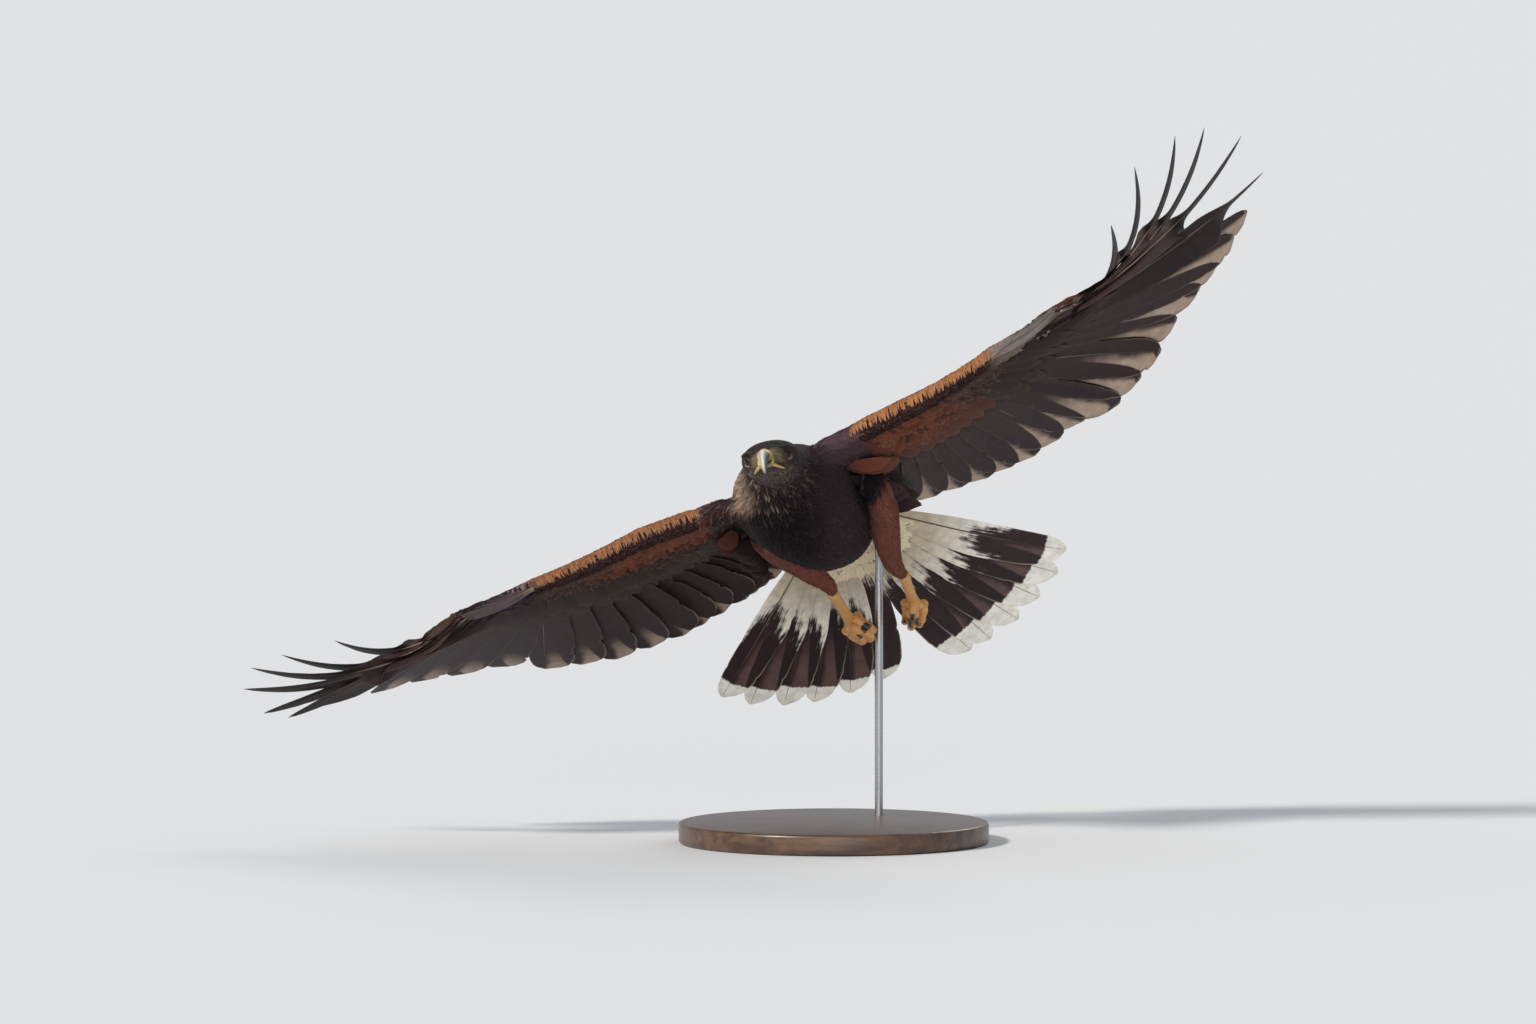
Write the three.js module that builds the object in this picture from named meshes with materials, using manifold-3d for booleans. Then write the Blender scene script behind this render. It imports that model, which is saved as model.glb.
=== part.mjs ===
// A life-size Harris's hawk in gliding flight, held by a plain display stand.
// Millimetres, +Z up. The bird flies towards -Y, its left wing reaches +X.
import * as THREE from 'three';
import { mergeVertices } from 'three/addons/utils/BufferGeometryUtils.js';
import Module from 'manifold-3d';

const wasm = await Module();
wasm.setup();

// Attitude of the bird on its stand, in degrees.
const BANK = 24;
const TURN = 10;
const PITCH = 20;
const VIEW_RISE = 4;

// Attitude of the head, which stays more level than the body.
const HEAD_BANK = 11;
const HEAD_TURN = 11;
const HEAD_PITCH = 8;

// Place of the point between the shoulders, from the middle of the stand's foot.
const SHOULDERS = [-55, -80, 365];

// Clearance between neighbouring pieces, and between the limbs and the body they meet.
const GAP = 0.3;
const LIMB_GAP = 0.4;

// Stand.
const BASE_RADIUS = 150;
const BASE_HEIGHT = 20;
const BASE_EDGE = 3;
const ROD_RADIUS = 4;
const ROD_PLACE = [44, 73];
const ROD_REACH = 300;

// Body, from the eyes back to the tail. The tail's fan spreads from a centre ahead of its root.
const EYES_AT = [15, -100, -21];
const TAIL_ROOT = [15, 162, -13];
const TAIL_BACK = [-0.1164, 0.873, -0.473];
const TAIL_LEFT = [0.984, 0.169, 0.0425];
const TAIL_CENTRE_AHEAD = 30;
const TRUNK_END = 150;

// Head, measured from the point between the eyes.
const EYE_RADIUS = 6.6;
const EYE_SIDE = 17.6;
const EYE_AHEAD = 2.2;

// Wing feathers are ranked outwards: 0 is the innermost tertial, 13 is the first primary, 22 the tenth.
const INNER_RANK = -2;
const ELBOW_RANK = 2;
const WRIST_RANK = 12.4;
const HAND_END_RANK = 22.5;
const LAST_SECONDARY = 12;
const FIRST_FINGER = 17;
const LAST_FINGER = 22;
const SCALLOP = 0.075;
const VANE_THICK = 1.5;
const FINGER_WIDTH = 25;
const FINGER_CLEAR = 0.03;
const FINGER_STEPS = 7;
const FINGER_SPREAD = [[0, 0.62], [0.1, 0.92], [0.5, 1], [0.75, 0.82], [0.9, 0.5], [1, 0.08]];

// Ranks at which the joined wing is parted into arm, forearm and hand, and the cut's width in ranks.
const FOREARM_START = 4.5;
const HAND_START = 12.5;
const SEAM = 0.045;

// One row for each key feather: rank, degrees outboard of straight back, degrees of rise, length,
// and degrees by which the shaft starts lower than the straight line to its tip.
const LEFT_WING = {
  name: 'left',
  side: 1,
  joints: [[58, 8, -3], [138, 25, -8], [243, -36, 3], [325, -26, 22]],
  lead: [26, 22, 15, 5],
  web: [0, -30, 9],
  fan: [
    [-2, -6, -5, 118, -5], [0, -14, -4, 160, -5], [2, -12, -3, 180, -5], [4, -1, -5, 188, -5],
    [6, 9, -6.4, 192, -5], [8, 21, -5.3, 195, -5], [9, 31, -7, 199, -4], [11, 43, -1, 210, -3],
    [12, 47, 4, 220, 0], [13, 54.5, 7, 232, 3], [15, 64, 11, 252, 7], [16, 66, 14, 266, 10],
    [17, 73, 17, 284, 13], [18, 69.5, 26.5, 289, 21], [19, 58, 35, 285, 28], [20, 53, 39.5, 260, 31],
    [21, 43, 44, 214, 34], [22, 29, 40, 152, 31],
  ],
  bow: 0.75,
  twist: 20,
  notches: [0.8, 0.62, 0.58, 0.56, 0.48, 0.28],
};
const RIGHT_WING = {
  name: 'right',
  side: -1,
  joints: [[-58, 8, -10], [-145, 20, -15], [-254, -34, -22], [-340, -26, -14]],
  lead: [26, 22, 15, 5],
  web: [0, -26, 4],
  fan: [
    [-2, -10, -8, 118, -5], [0, -30, -8, 150, -5], [2, -27, -8, 170, -5], [5, -23, -8.3, 188, -5],
    [6, -17.5, -8.8, 190, -5], [8, -10, -10, 193, -5], [10, 5, -7.6, 200, -4], [12, 18, -2.5, 205, 0],
    [13, 29, 2.5, 206, 3], [15, 47, 4, 214, 3], [16, 56, 3.5, 224, 3], [17, 75, 1, 260, 4],
    [18, 74, 4.5, 278, 8], [19, 76.5, 10, 278, 22], [20, 77, 14, 256, 31], [21, 75.6, 16, 214, 36],
    [22, 71, 18.5, 151, 35],
  ],
  bow: 0.3,
  twist: 2,
  notches: [0.81, 0.62, 0.6, 0.57, 0.53, 0.45],
};

// Tail feathers: degrees from the middle of the fan, and length from the fan's centre.
const RIGHT_RECTRICES = [[-5.5, 247], [-13.5, 252], [-21.5, 255], [-29.5, 256], [-37.5, 256], [-44.5, 252]];
const LEFT_RECTRICES = [[12.5, 262], [18.5, 264], [25.5, 266], [32.5, 265], [39.5, 263], [45.5, 256]];
const RECTRIX_START = 66;
const RECTRIX_THICK = 0.8;
const RECTRIX_STEP = 1.25;
const RECTRIX_HALF_WIDTH = 22;
const RECTRIX_STATIONS = [0, 0.2, 0.4, 0.6, 0.75, 0.86, 0.93, 0.97, 1];
const RECTRIX_SPREAD = [[0, 0.2], [0.25, 0.5], [0.55, 0.9], [0.8, 1], [0.92, 0.86], [0.98, 0.5], [1, 0.25]];

// Legs: knee, hock and the root of the toes, and the direction in which the palm faces.
const LEFT_LEG = {
  name: 'left',
  side: 1,
  knee: [60, 42, -38],
  hock: [57, 130, -103],
  toes: [47, 202, -112],
  fist: [-0.49, 0.22, -0.85],
};
const RIGHT_LEG = {
  name: 'right',
  side: -1,
  knee: [-44, 30, -44],
  hock: [-13, 120, -94],
  toes: [-26, 194, -101],
  fist: [0.44, 0.38, -0.81],
};

// Surface finishes: colour, roughness and metalness.
const FINISH = {
  darkPlumage: [0x2a1d18, 0.85, 0],
  rufousPlumage: [0x8a4522, 0.85, 0],
  flightFeather: [0x4a3b33, 0.7, 0],
  alulaFeather: [0x777069, 0.7, 0],
  tailFeather: [0x33211c, 0.7, 0],
  palePlumage: [0xe6dcc8, 0.9, 0],
  scaledLeg: [0xd79a3e, 0.6, 0],
  bill: [0x5b6468, 0.35, 0],
  talon: [0x191614, 0.3, 0],
  eye: [0x3a1c10, 0.05, 0],
  baseWood: [0x4b3021, 0.45, 0],
  rodSteel: [0x8c8d8f, 0.3, 1],
};

const radians = THREE.MathUtils.degToRad;
const vector = (point) => new THREE.Vector3(...point);

function finish(name) {
  const [color, roughness, metalness] = FINISH[name];
  return new THREE.MeshStandardMaterial({ color, roughness, metalness });
}

// Value of a column of a table of rows at a place between its keys.
function between(rows, at, column) {
  let k = 0;
  while (k < rows.length - 2 && at > rows[k + 1][0]) k += 1;
  const [a, b] = [rows[k], rows[k + 1]];
  const share = THREE.MathUtils.clamp((at - a[0]) / (b[0] - a[0]), 0, 1);
  return a[column] + (b[column] - a[column]) * share;
}

// A closed surface through rings of points. Its flat ends are ladders between the two halves of a ring.
function loft(rings) {
  const sides = rings[0].length;
  const positions = rings.flat().flatMap((p) => [p.x, p.y, p.z]);
  const faces = [];
  for (let r = 0; r + 1 < rings.length; r += 1) {
    for (let s = 0; s < sides; s += 1) {
      const a = r * sides + s;
      const b = r * sides + ((s + 1) % sides);
      faces.push(a, b, b + sides, a, b + sides, a + sides);
    }
  }
  for (const first of [0, (rings.length - 1) * sides]) {
    for (let s = 0; s < Math.floor((sides - 1) / 2); s += 1) {
      const [a, b] = [first + s, first + s + 1];
      const [c, d] = [first + sides - 2 - s, first + sides - 1 - s];
      if (b !== c) faces.push(...(first ? [a, b, c] : [b, a, c]));
      faces.push(...(first ? [a, c, d] : [c, a, d]));
    }
  }
  const geometry = new THREE.BufferGeometry();
  geometry.setAttribute('position', new THREE.Float32BufferAttribute(positions, 3));
  geometry.setIndex(faces);
  return outward(geometry);
}

// Turns the faces over when the volume they enclose is negative.
function outward(geometry) {
  const p = geometry.attributes.position;
  const index = geometry.index;
  const corner = (i) => new THREE.Vector3().fromBufferAttribute(p, index.getX(i));
  let volume = 0;
  for (let i = 0; i < index.count; i += 3) {
    volume += corner(i).dot(corner(i + 1).cross(corner(i + 2)));
  }
  if (volume < 0) {
    for (let i = 0; i < index.count; i += 3) {
      const first = index.getX(i);
      index.setX(i, index.getX(i + 1));
      index.setX(i + 1, first);
    }
  }
  return geometry;
}

// A ring in the plane of two directions, with its own reach to the sides, up and down.
function ring(centre, right, up, width, top, bottom, count, square = 1) {
  const points = [];
  for (let s = 0; s < count; s += 1) {
    const angle = (s / count) * Math.PI * 2;
    const c = Math.sign(Math.cos(angle)) * Math.abs(Math.cos(angle)) ** square;
    const d = Math.sign(Math.sin(angle)) * Math.abs(Math.sin(angle)) ** square;
    const height = d >= 0 ? d * top : -d * bottom;
    points.push(centre.clone().addScaledVector(right, c * width).addScaledVector(up, height));
  }
  return points;
}

// A round tube of changing radius along a curve.
function tube(curve, radii, steps, sides, upHint = new THREE.Vector3(0, 0, 1)) {
  const rings = [];
  for (let k = 0; k <= steps; k += 1) {
    const t = k / steps;
    const along = curve.getTangent(t);
    const right = new THREE.Vector3().crossVectors(along, upHint).normalize();
    const up = new THREE.Vector3().crossVectors(right, along).normalize();
    const radius = between(radii, t, 1);
    rings.push(ring(curve.getPoint(t), right, up, radius, radius, -radius, sides));
  }
  return loft(rings);
}

// Solids for cutting one piece by its neighbour.
function toSolid(geometry) {
  const bare = new THREE.BufferGeometry();
  bare.setAttribute('position', geometry.attributes.position.clone());
  if (geometry.index) bare.setIndex(geometry.index.clone());
  const merged = mergeVertices(bare, 1e-4);
  return new wasm.Manifold(new wasm.Mesh({
    numProp: 3,
    vertProperties: new Float32Array(merged.attributes.position.array),
    triVerts: new Uint32Array(merged.index.array),
  }));
}

function toGeometry(solid) {
  const mesh = solid.getMesh();
  const geometry = new THREE.BufferGeometry();
  geometry.setAttribute('position', new THREE.BufferAttribute(mesh.vertProperties, 3));
  geometry.setIndex(new THREE.BufferAttribute(mesh.triVerts, 1));
  return geometry;
}

function cut(geometry, tools) {
  let solid = toSolid(geometry);
  for (const tool of tools) solid = solid.subtract(toSolid(tool));
  return toGeometry(solid);
}

// The groups: the stand in the floor's frame, the bird pitched and banked above it.
const model = new THREE.Group();
const view = new THREE.Group();
view.position.set(...SHOULDERS);
view.rotation.x = radians(-VIEW_RISE);
const bird = new THREE.Group();
bird.rotation.set(radians(-PITCH), radians(-BANK), radians(-TURN), 'YZX');
view.add(bird);
model.add(view);

function addPart(name, geometry, finishName, parent = bird) {
  const mesh = new THREE.Mesh(geometry, finish(finishName));
  mesh.name = name;
  parent.add(mesh);
  return mesh;
}

// Frame of the head, as the bird's body sees it.
function headFrame() {
  const head = new THREE.Euler(radians(-HEAD_PITCH), radians(-HEAD_BANK), radians(-HEAD_TURN), 'YZX');
  const turn = bird.quaternion.clone().invert().multiply(new THREE.Quaternion().setFromEuler(head));
  return new THREE.Matrix4().compose(vector(EYES_AT), turn, new THREE.Vector3(1, 1, 1));
}
const HEAD = headFrame();

// Rings of the head: behind the eyes, half-width, top, bottom, height of the middle and
// how far the sides are drawn in at the height of the eyes.
const HEAD_ROWS = [
  [-21, 7.4, 6.4, -8, -1.6, 0], [-17.5, 9.8, 7.8, -10.4, -1.2, 0], [-13, 14, 10.8, -13.4, -1, 0.1],
  [-8, 18.2, 14, -16.4, -1, 0.16], [-3, 22.4, 16.2, -19.2, -0.5, 0.16], [3, 26, 17.6, -21.6, 0, 0.1],
  [10, 28, 18.6, -23.6, 0, 0.03], [18, 28.4, 18.8, -25.2, 0, 0], [25, 28.4, 18.4, -26.6, 0, 0],
  [32, 28.6, 17.6, -28, 0, 0],
];
// Rings of the trunk: along the back, middle to the left, half-width, top and bottom.
const TRUNK_ROWS = [
  [-50, 7, 37, 9, -50], [-28, 3, 50, 17, -64], [5, 2, 58, 26, -76], [40, 4, 59, 29, -84],
  [75, 8, 56, 28, -87], [105, 12, 48, 21, -82], [130, 15, 38, 12, -66], [150, 17, 29, 4, -44],
];
const BODY_SIDES = 16;

function headRing(row, grow = 0) {
  const [behind, width, top, bottom, middle, hollow] = row;
  const centre = new THREE.Vector3(0, behind, middle).applyMatrix4(HEAD);
  const right = new THREE.Vector3(1, 0, 0).transformDirection(HEAD);
  const up = new THREE.Vector3(0, 0, 1).transformDirection(HEAD);
  const points = ring(centre, right, up, width + grow, top + grow, bottom - grow, BODY_SIDES, 0.92);
  return points.map((point) => {
    const away = point.clone().sub(centre);
    const drawn = hollow * Math.exp(-((away.dot(up) / EYE_RADIUS) ** 2));
    return point.addScaledVector(right, -away.dot(right) * drawn);
  });
}

function trunkRing(row, grow = 0) {
  const [along, left, width, top, bottom] = row;
  const right = new THREE.Vector3(1, 0, 0);
  const up = new THREE.Vector3(0, 0, 1);
  const middle = (top + bottom) / 2;
  const centre = new THREE.Vector3(left, along, middle);
  return ring(centre, right, up, width + grow, top - middle + grow, bottom - middle - grow, BODY_SIDES);
}

// Rings of the neck run smoothly from the nape to the first ring of the trunk.
function neckRing(share, grow = 0) {
  const nape = headRing(HEAD_ROWS[HEAD_ROWS.length - 1], grow);
  const chest = trunkRing(TRUNK_ROWS[0], grow);
  const swell = share * share * (3 - 2 * share);
  return nape.map((p, k) => p.clone().lerp(chest[k], 0.35 * swell + 0.65 * share));
}

function addBody() {
  const crown = HEAD_ROWS.map((row) => headRing(row));
  const sockets = [1, -1].map((side) => {
    const ball = new THREE.SphereGeometry(EYE_RADIUS + GAP, 12, 7);
    ball.applyMatrix4(new THREE.Matrix4().makeTranslation(side * EYE_SIDE, -EYE_AHEAD, 0));
    return ball.applyMatrix4(HEAD);
  });
  addPart('head', cut(loft(crown), sockets), 'darkPlumage');
  const neckShares = [0.012, 0.2, 0.4, 0.6, 0.8, 0.988];
  addPart('neck', loft(neckShares.map((share) => neckRing(share))), 'darkPlumage');
  addPart('trunk', loft(TRUNK_ROWS.map((row) => trunkRing(row))), 'darkPlumage');
  for (const [name, side] of [['left', 1], ['right', -1]]) {
    const ball = new THREE.SphereGeometry(EYE_RADIUS, 12, 8);
    ball.applyMatrix4(new THREE.Matrix4().makeTranslation(side * EYE_SIDE, -EYE_AHEAD, 0));
    addPart(`eye_${name}`, ball.applyMatrix4(HEAD), 'eye');
  }
}

// The trunk and neck a little larger, for cutting the limbs that meet them.
function grownBody() {
  const rows = TRUNK_ROWS.map((row) => trunkRing(row, LIMB_GAP));
  const neck = [0, 0.2, 0.4, 0.6, 0.8].map((share) => neckRing(share, LIMB_GAP));
  return loft([...neck, ...rows]);
}

// Bill: rows hold the place ahead of the eyes, height, half-width, top and bottom.
const UPPER_BILL = [
  [21.3, -0.6, 6.6, 5.4, -5.2], [25, -0.4, 5.6, 5.6, -5.6], [29, -1.4, 4.8, 5.2, -5.2],
  [32.5, -3.8, 3.9, 4.6, -4.6], [35.2, -7.6, 2.9, 4, -4], [36.2, -12, 1.8, 3, -3],
  [35.4, -16.4, 0.5, 0.9, -0.9],
];
const BILL_LEAN = [0, 6, 18, 36, 58, 82, 100];
const LOWER_BILL = [
  [21.3, -8.6, 5.2, 1.6, -2.4], [25, -9, 4.2, 1.6, -2.4], [28.5, -9.4, 3, 1.5, -2.1],
  [31, -9.8, 1.6, 1.2, -1.4],
];

function addBill() {
  const right = new THREE.Vector3(1, 0, 0);
  const upper = UPPER_BILL.map(([ahead, height, width, top, bottom], k) => {
    const lean = radians(BILL_LEAN[k]);
    const up = new THREE.Vector3(0, -Math.sin(lean), Math.cos(lean));
    return ring(new THREE.Vector3(0, -ahead, height), right, up, width, top, bottom, 12);
  });
  const lower = LOWER_BILL.map(([ahead, height, width, top, bottom]) => {
    const up = new THREE.Vector3(0, 0, 1);
    return ring(new THREE.Vector3(0, -ahead, height), right, up, width, top, bottom, 10);
  });
  const upperBill = loft(upper);
  const grown = loft(lower.map((points) => {
    const middle = points.reduce((sum, p) => sum.add(p), new THREE.Vector3()).divideScalar(points.length);
    return points.map((p) => {
      const away = p.clone().sub(middle);
      return p.clone().addScaledVector(away.normalize(), GAP);
    });
  }));
  addPart('bill_upper', cut(upperBill, [grown]).applyMatrix4(HEAD), 'bill');
  addPart('bill_lower', loft(lower).applyMatrix4(HEAD), 'bill');
}

// Place on the line of the wing's bones, from the shoulder to the tip of the hand.
function boneAt(wing, rank) {
  const keys = [INNER_RANK, ELBOW_RANK, WRIST_RANK, HAND_END_RANK];
  const rows = keys.map((at, k) => [at, ...wing.joints[k]]);
  return new THREE.Vector3(between(rows, rank, 1), between(rows, rank, 2), between(rows, rank, 3));
}

function leadAt(wing, rank) {
  const keys = [INNER_RANK, ELBOW_RANK, WRIST_RANK, HAND_END_RANK];
  const ahead = between(keys.map((at, k) => [at, wing.lead[k]]), rank, 1);
  const fromElbow = Math.max(0, 1 - Math.abs(rank - ELBOW_RANK) / (WRIST_RANK - ELBOW_RANK));
  const web = vector(wing.web).multiplyScalar(fromElbow ** 1.5);
  return boneAt(wing, rank).add(new THREE.Vector3(0, -ahead, 1.5)).add(web);
}

// Direction that points back, turned outboard and raised.
function aim(side, outboard, rise) {
  const [a, b] = [radians(outboard), radians(rise)];
  return new THREE.Vector3(side * Math.sin(a) * Math.cos(b), Math.cos(a) * Math.cos(b), Math.sin(b));
}

// Curve of a feather's shaft: it leaves the bone flatter and more outboard than it ends.
function shaftAt(wing, rank) {
  const outboard = between(wing.fan, rank, 1);
  const rise = between(wing.fan, rank, 2);
  const length = between(wing.fan, rank, 3);
  const root = boneAt(wing, rank);
  const tip = root.clone().addScaledVector(aim(wing.side, outboard, rise), length * 0.99);
  const sag = between(wing.fan, rank, 4);
  const start = aim(wing.side, outboard + Math.max(sag, 0) * wing.bow, rise - sag);
  return new THREE.QuadraticBezierCurve3(root, root.clone().addScaledVector(start, length * 0.5), tip);
}

// Share of the shaft that the joined vane reaches: scalloped between tips, notched at the fingers.
function reachAt(wing, rank) {
  const off = Math.abs(rank - Math.round(rank)) * 2;
  const scalloped = 1 - SCALLOP * (1 - Math.sqrt(Math.max(0, 1 - off * off)));
  if (rank <= FIRST_FINGER - 1) return scalloped;
  const rows = [[FIRST_FINGER - 1, 1], ...wing.notches.map((share, k) => [FIRST_FINGER + k, share])];
  return between(rows, rank, 1);
}

// Stations across a wing's section: negative ones lie ahead of the bones, the rest along the shaft.
const STATIONS = [[-1, 0.4], [-0.3, 1], [0.16, 0.55], [0.5, 0.12], [1, 0.02]];

function wingSection(wing, rank) {
  const bones = [[INNER_RANK, 24], [ELBOW_RANK, 21], [WRIST_RANK, 15], [HAND_END_RANK, 6]];
  const thick = between(bones, rank, 1);
  const shaft = shaftAt(wing, rank);
  const lead = leadAt(wing, rank);
  const bone = boneAt(wing, rank);
  const reach = reachAt(wing, rank);
  const upper = [];
  const lower = [];
  for (const [station, share] of STATIONS) {
    const place = station < 0 ? bone.clone().lerp(lead, -station) : shaft.getPoint(station * reach);
    const half = Math.max(VANE_THICK / 2, (thick / 2) * share);
    upper.push(place.clone().add(new THREE.Vector3(0, 0, half)));
    lower.push(place.clone().add(new THREE.Vector3(0, 0, -half)));
  }
  return [...upper, ...lower.reverse()];
}

function wingPiece(wing, from, to, stepsPerFeather) {
  const steps = Math.round((to - from) * stepsPerFeather);
  const ranks = Array.from({ length: steps + 1 }, (_, k) => from + ((to - from) * k) / steps);
  return loft(ranks.map((rank) => wingSection(wing, rank)));
}

// One separated primary, twisted about its shaft.
function finger(wing, rank) {
  const shaft = shaftAt(wing, rank);
  const start = wing.notches[rank - FIRST_FINGER] + FINGER_CLEAR;
  const rings = [];
  for (let k = 0; k <= FINGER_STEPS; k += 1) {
    const share = k / FINGER_STEPS;
    const at = start + (1 - start) * share;
    const along = shaft.getTangent(at);
    const chord = new THREE.Vector3(0, Math.cos(radians(wing.twist)), Math.sin(radians(wing.twist)));
    chord.addScaledVector(along, -chord.dot(along)).normalize();
    const up = new THREE.Vector3().crossVectors(along, chord).normalize();
    const half = (FINGER_WIDTH / 2) * between(FINGER_SPREAD, share, 1);
    const thick = VANE_THICK * (1 - 0.5 * share) * 0.75;
    rings.push(ring(shaft.getPoint(at), chord, up, half, thick, -thick, 4));
  }
  return loft(rings);
}

// The alula: a short stiff feather group along the front of the hand.
function alula(wing) {
  const start = leadAt(wing, WRIST_RANK).add(new THREE.Vector3(wing.side * 3, 4, -13));
  const end = leadAt(wing, HAND_END_RANK - 3).add(new THREE.Vector3(0, -3, -8));
  const along = end.clone().sub(start).normalize();
  const chord = new THREE.Vector3(0, 0.9, -0.35);
  chord.addScaledVector(along, -chord.dot(along)).normalize();
  const up = new THREE.Vector3().crossVectors(along, chord).normalize();
  const spread = [[0, 6], [0.2, 9], [0.6, 9], [0.85, 6], [1, 1]];
  const rings = [];
  for (let k = 0; k <= 6; k += 1) {
    const share = k / 6;
    const half = between(spread, share, 1);
    rings.push(ring(start.clone().lerp(end, share), chord, up, half, 1.3, -1.3, 6));
  }
  return loft(rings);
}

function addWing(wing, body) {
  const arm = cut(wingPiece(wing, INNER_RANK - 1, FOREARM_START, 2), [body]);
  const forearm = wingPiece(wing, FOREARM_START + SEAM, HAND_START, 4);
  const hand = wingPiece(wing, HAND_START + SEAM, LAST_FINGER, 4);
  addPart(`wing_${wing.name}_arm`, largest(arm), 'rufousPlumage');
  addPart(`wing_${wing.name}_forearm`, forearm, 'flightFeather');
  addPart(`wing_${wing.name}_hand`, hand, 'flightFeather');
  addPart(`alula_${wing.name}`, alula(wing), 'alulaFeather');
  for (let rank = FIRST_FINGER; rank <= LAST_FINGER; rank += 1) {
    addPart(`primary_${wing.name}_${rank - LAST_SECONDARY}`, finger(wing, rank), 'flightFeather');
  }
}

// Largest of the bodies that a cut leaves.
function largest(geometry) {
  const pieces = toSolid(geometry).decompose();
  pieces.sort((a, b) => b.volume() - a.volume());
  return toGeometry(pieces[0]);
}

// Directions of the tail's fan.
const tailBack = vector(TAIL_BACK).normalize();
const tailLeft = vector(TAIL_LEFT).normalize();
const tailUp = new THREE.Vector3().crossVectors(tailLeft, tailBack).normalize();
const tailCentre = vector(TAIL_ROOT).addScaledVector(tailBack, -TAIL_CENTRE_AHEAD);

function tailPoint(angle, reach, up) {
  const a = radians(angle);
  return tailCentre.clone()
    .addScaledVector(tailLeft, Math.sin(a) * reach)
    .addScaledVector(tailBack, Math.cos(a) * reach)
    .addScaledVector(tailUp, up);
}

// The tail's fleshy root with its coverts, flat and fanned towards the feathers.
function tailBase(grow = 0) {
  const rows = [[32, 26, 17, -19], [44, 30, 12, -18], [56, 36, 8, -15], [RECTRIX_START - 1, 40, 5, -12]];
  const first = trunkRing([TRUNK_END + GAP, 17, 28.6, 3.6, -43.6]);
  const rings = rows.map(([reach, width, top, bottom]) => {
    const centre = tailPoint(0, reach, 0);
    return ring(centre, tailLeft, tailUp, width + grow, top + grow, bottom - grow, BODY_SIDES);
  });
  return loft([first, ...rings]);
}

function rectrix(angle, length, order) {
  const a = radians(angle);
  const across = tailLeft.clone().multiplyScalar(Math.cos(a)).addScaledVector(tailBack, -Math.sin(a));
  const rings = RECTRIX_STATIONS.map((share) => {
    const reach = RECTRIX_START + (length - RECTRIX_START) * share;
    const centre = tailPoint(angle, reach, -order * RECTRIX_STEP);
    const half = RECTRIX_HALF_WIDTH * between(RECTRIX_SPREAD, share, 1);
    const thick = RECTRIX_THICK / 2;
    return ring(centre, across, tailUp, half, thick, -thick, 4, 0.4);
  });
  return loft(rings);
}

function addTail() {
  const coverts = tailBase(GAP);
  addPart('tail_base', tailBase(), 'palePlumage');
  for (const [name, rows] of [['left', LEFT_RECTRICES], ['right', RIGHT_RECTRICES]]) {
    rows.forEach(([angle, length], k) => {
      const order = k + (name === 'left' ? 0.5 : 0);
      const vane = largest(cut(rectrix(angle, length, order), [coverts]));
      addPart(`rectrix_${name}_${k + 1}`, vane, 'tailFeather');
    });
  }
}

// Feathered thigh from the flank to the hock.
function thigh(leg, grow = 0) {
  const [knee, hock] = [vector(leg.knee), vector(leg.hock)];
  const along = hock.clone().sub(knee);
  const curve = new THREE.QuadraticBezierCurve3(
    knee,
    knee.clone().addScaledVector(along, 0.5).add(new THREE.Vector3(leg.side * 4, 0, 0)),
    hock,
  );
  const radii = [[0, 16], [0.3, 17], [0.65, 12.5], [0.88, 8], [1, 5.4]];
  return tube(curve, radii.map(([at, radius]) => [at, radius + grow]), 7, 12);
}

function tarsus(leg) {
  const hock = vector(leg.hock);
  const toes = vector(leg.toes);
  const along = toes.clone().sub(hock).normalize();
  const curve = new THREE.LineCurve3(hock.clone().addScaledVector(along, GAP), toes);
  return tube(curve, [[0, 4.6], [0.12, 4.4], [0.3, 3.6], [0.75, 3.8], [1, 5.4]], 5, 10);
}

// Frame of a clenched foot: back along the tarsus, towards the palm, and across.
function footFrame(leg) {
  const back = vector(leg.toes).sub(vector(leg.hock)).normalize();
  const palm = vector(leg.fist);
  palm.addScaledVector(back, -palm.dot(back)).normalize();
  const across = new THREE.Vector3().crossVectors(back, palm).normalize();
  return { back, palm, across };
}

// A toe curls round the fist: its turn is measured from the back of the foot.
function toePoint(leg, toe, turn) {
  const { back, palm, across } = footFrame(leg);
  const a = radians(turn);
  const centre = vector(leg.toes).addScaledVector(back, 6).addScaledVector(palm, toe.reach);
  return centre
    .addScaledVector(back, Math.sin(a) * toe.curl)
    .addScaledVector(palm, -Math.cos(a) * toe.curl)
    .addScaledVector(across, toe.side * (1 - 0.25 * Math.min(1, turn / 180)));
}

// Each toe: place across the foot, radius of its curl, how far the curl's centre lies towards the
// palm, how far it bends and its thickness.
const TOES = [
  { name: 'inner', side: -9, curl: 10.5, reach: 10, bend: 190, radius: 4.4 },
  { name: 'middle', side: 0, curl: 12.5, reach: 11, bend: 200, radius: 4.6 },
  { name: 'outer', side: 9, curl: 10, reach: 10, bend: 185, radius: 3.9 },
];
const HALLUX = { name: 'hind', side: -3, curl: 8.5, reach: 10, bend: 125, radius: 4.6 };

function toeCurve(leg, toe, from, to) {
  const points = [];
  for (let k = 0; k <= 6; k += 1) points.push(toePoint(leg, toe, from + ((to - from) * k) / 6));
  return new THREE.CatmullRomCurve3(points);
}

// The hind toe leaves the front of the joint and curls under the fist from the other side.
function hindCurve(leg, from, to) {
  const { back, palm, across } = footFrame(leg);
  const points = [];
  for (let k = 0; k <= 5; k += 1) {
    const a = radians(from + ((to - from) * k) / 5);
    points.push(vector(leg.toes)
      .addScaledVector(back, -1 - Math.sin(a) * HALLUX.curl)
      .addScaledVector(palm, HALLUX.reach - Math.cos(a) * HALLUX.curl * 1.15)
      .addScaledVector(across, HALLUX.side));
  }
  return new THREE.CatmullRomCurve3(points);
}

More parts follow.
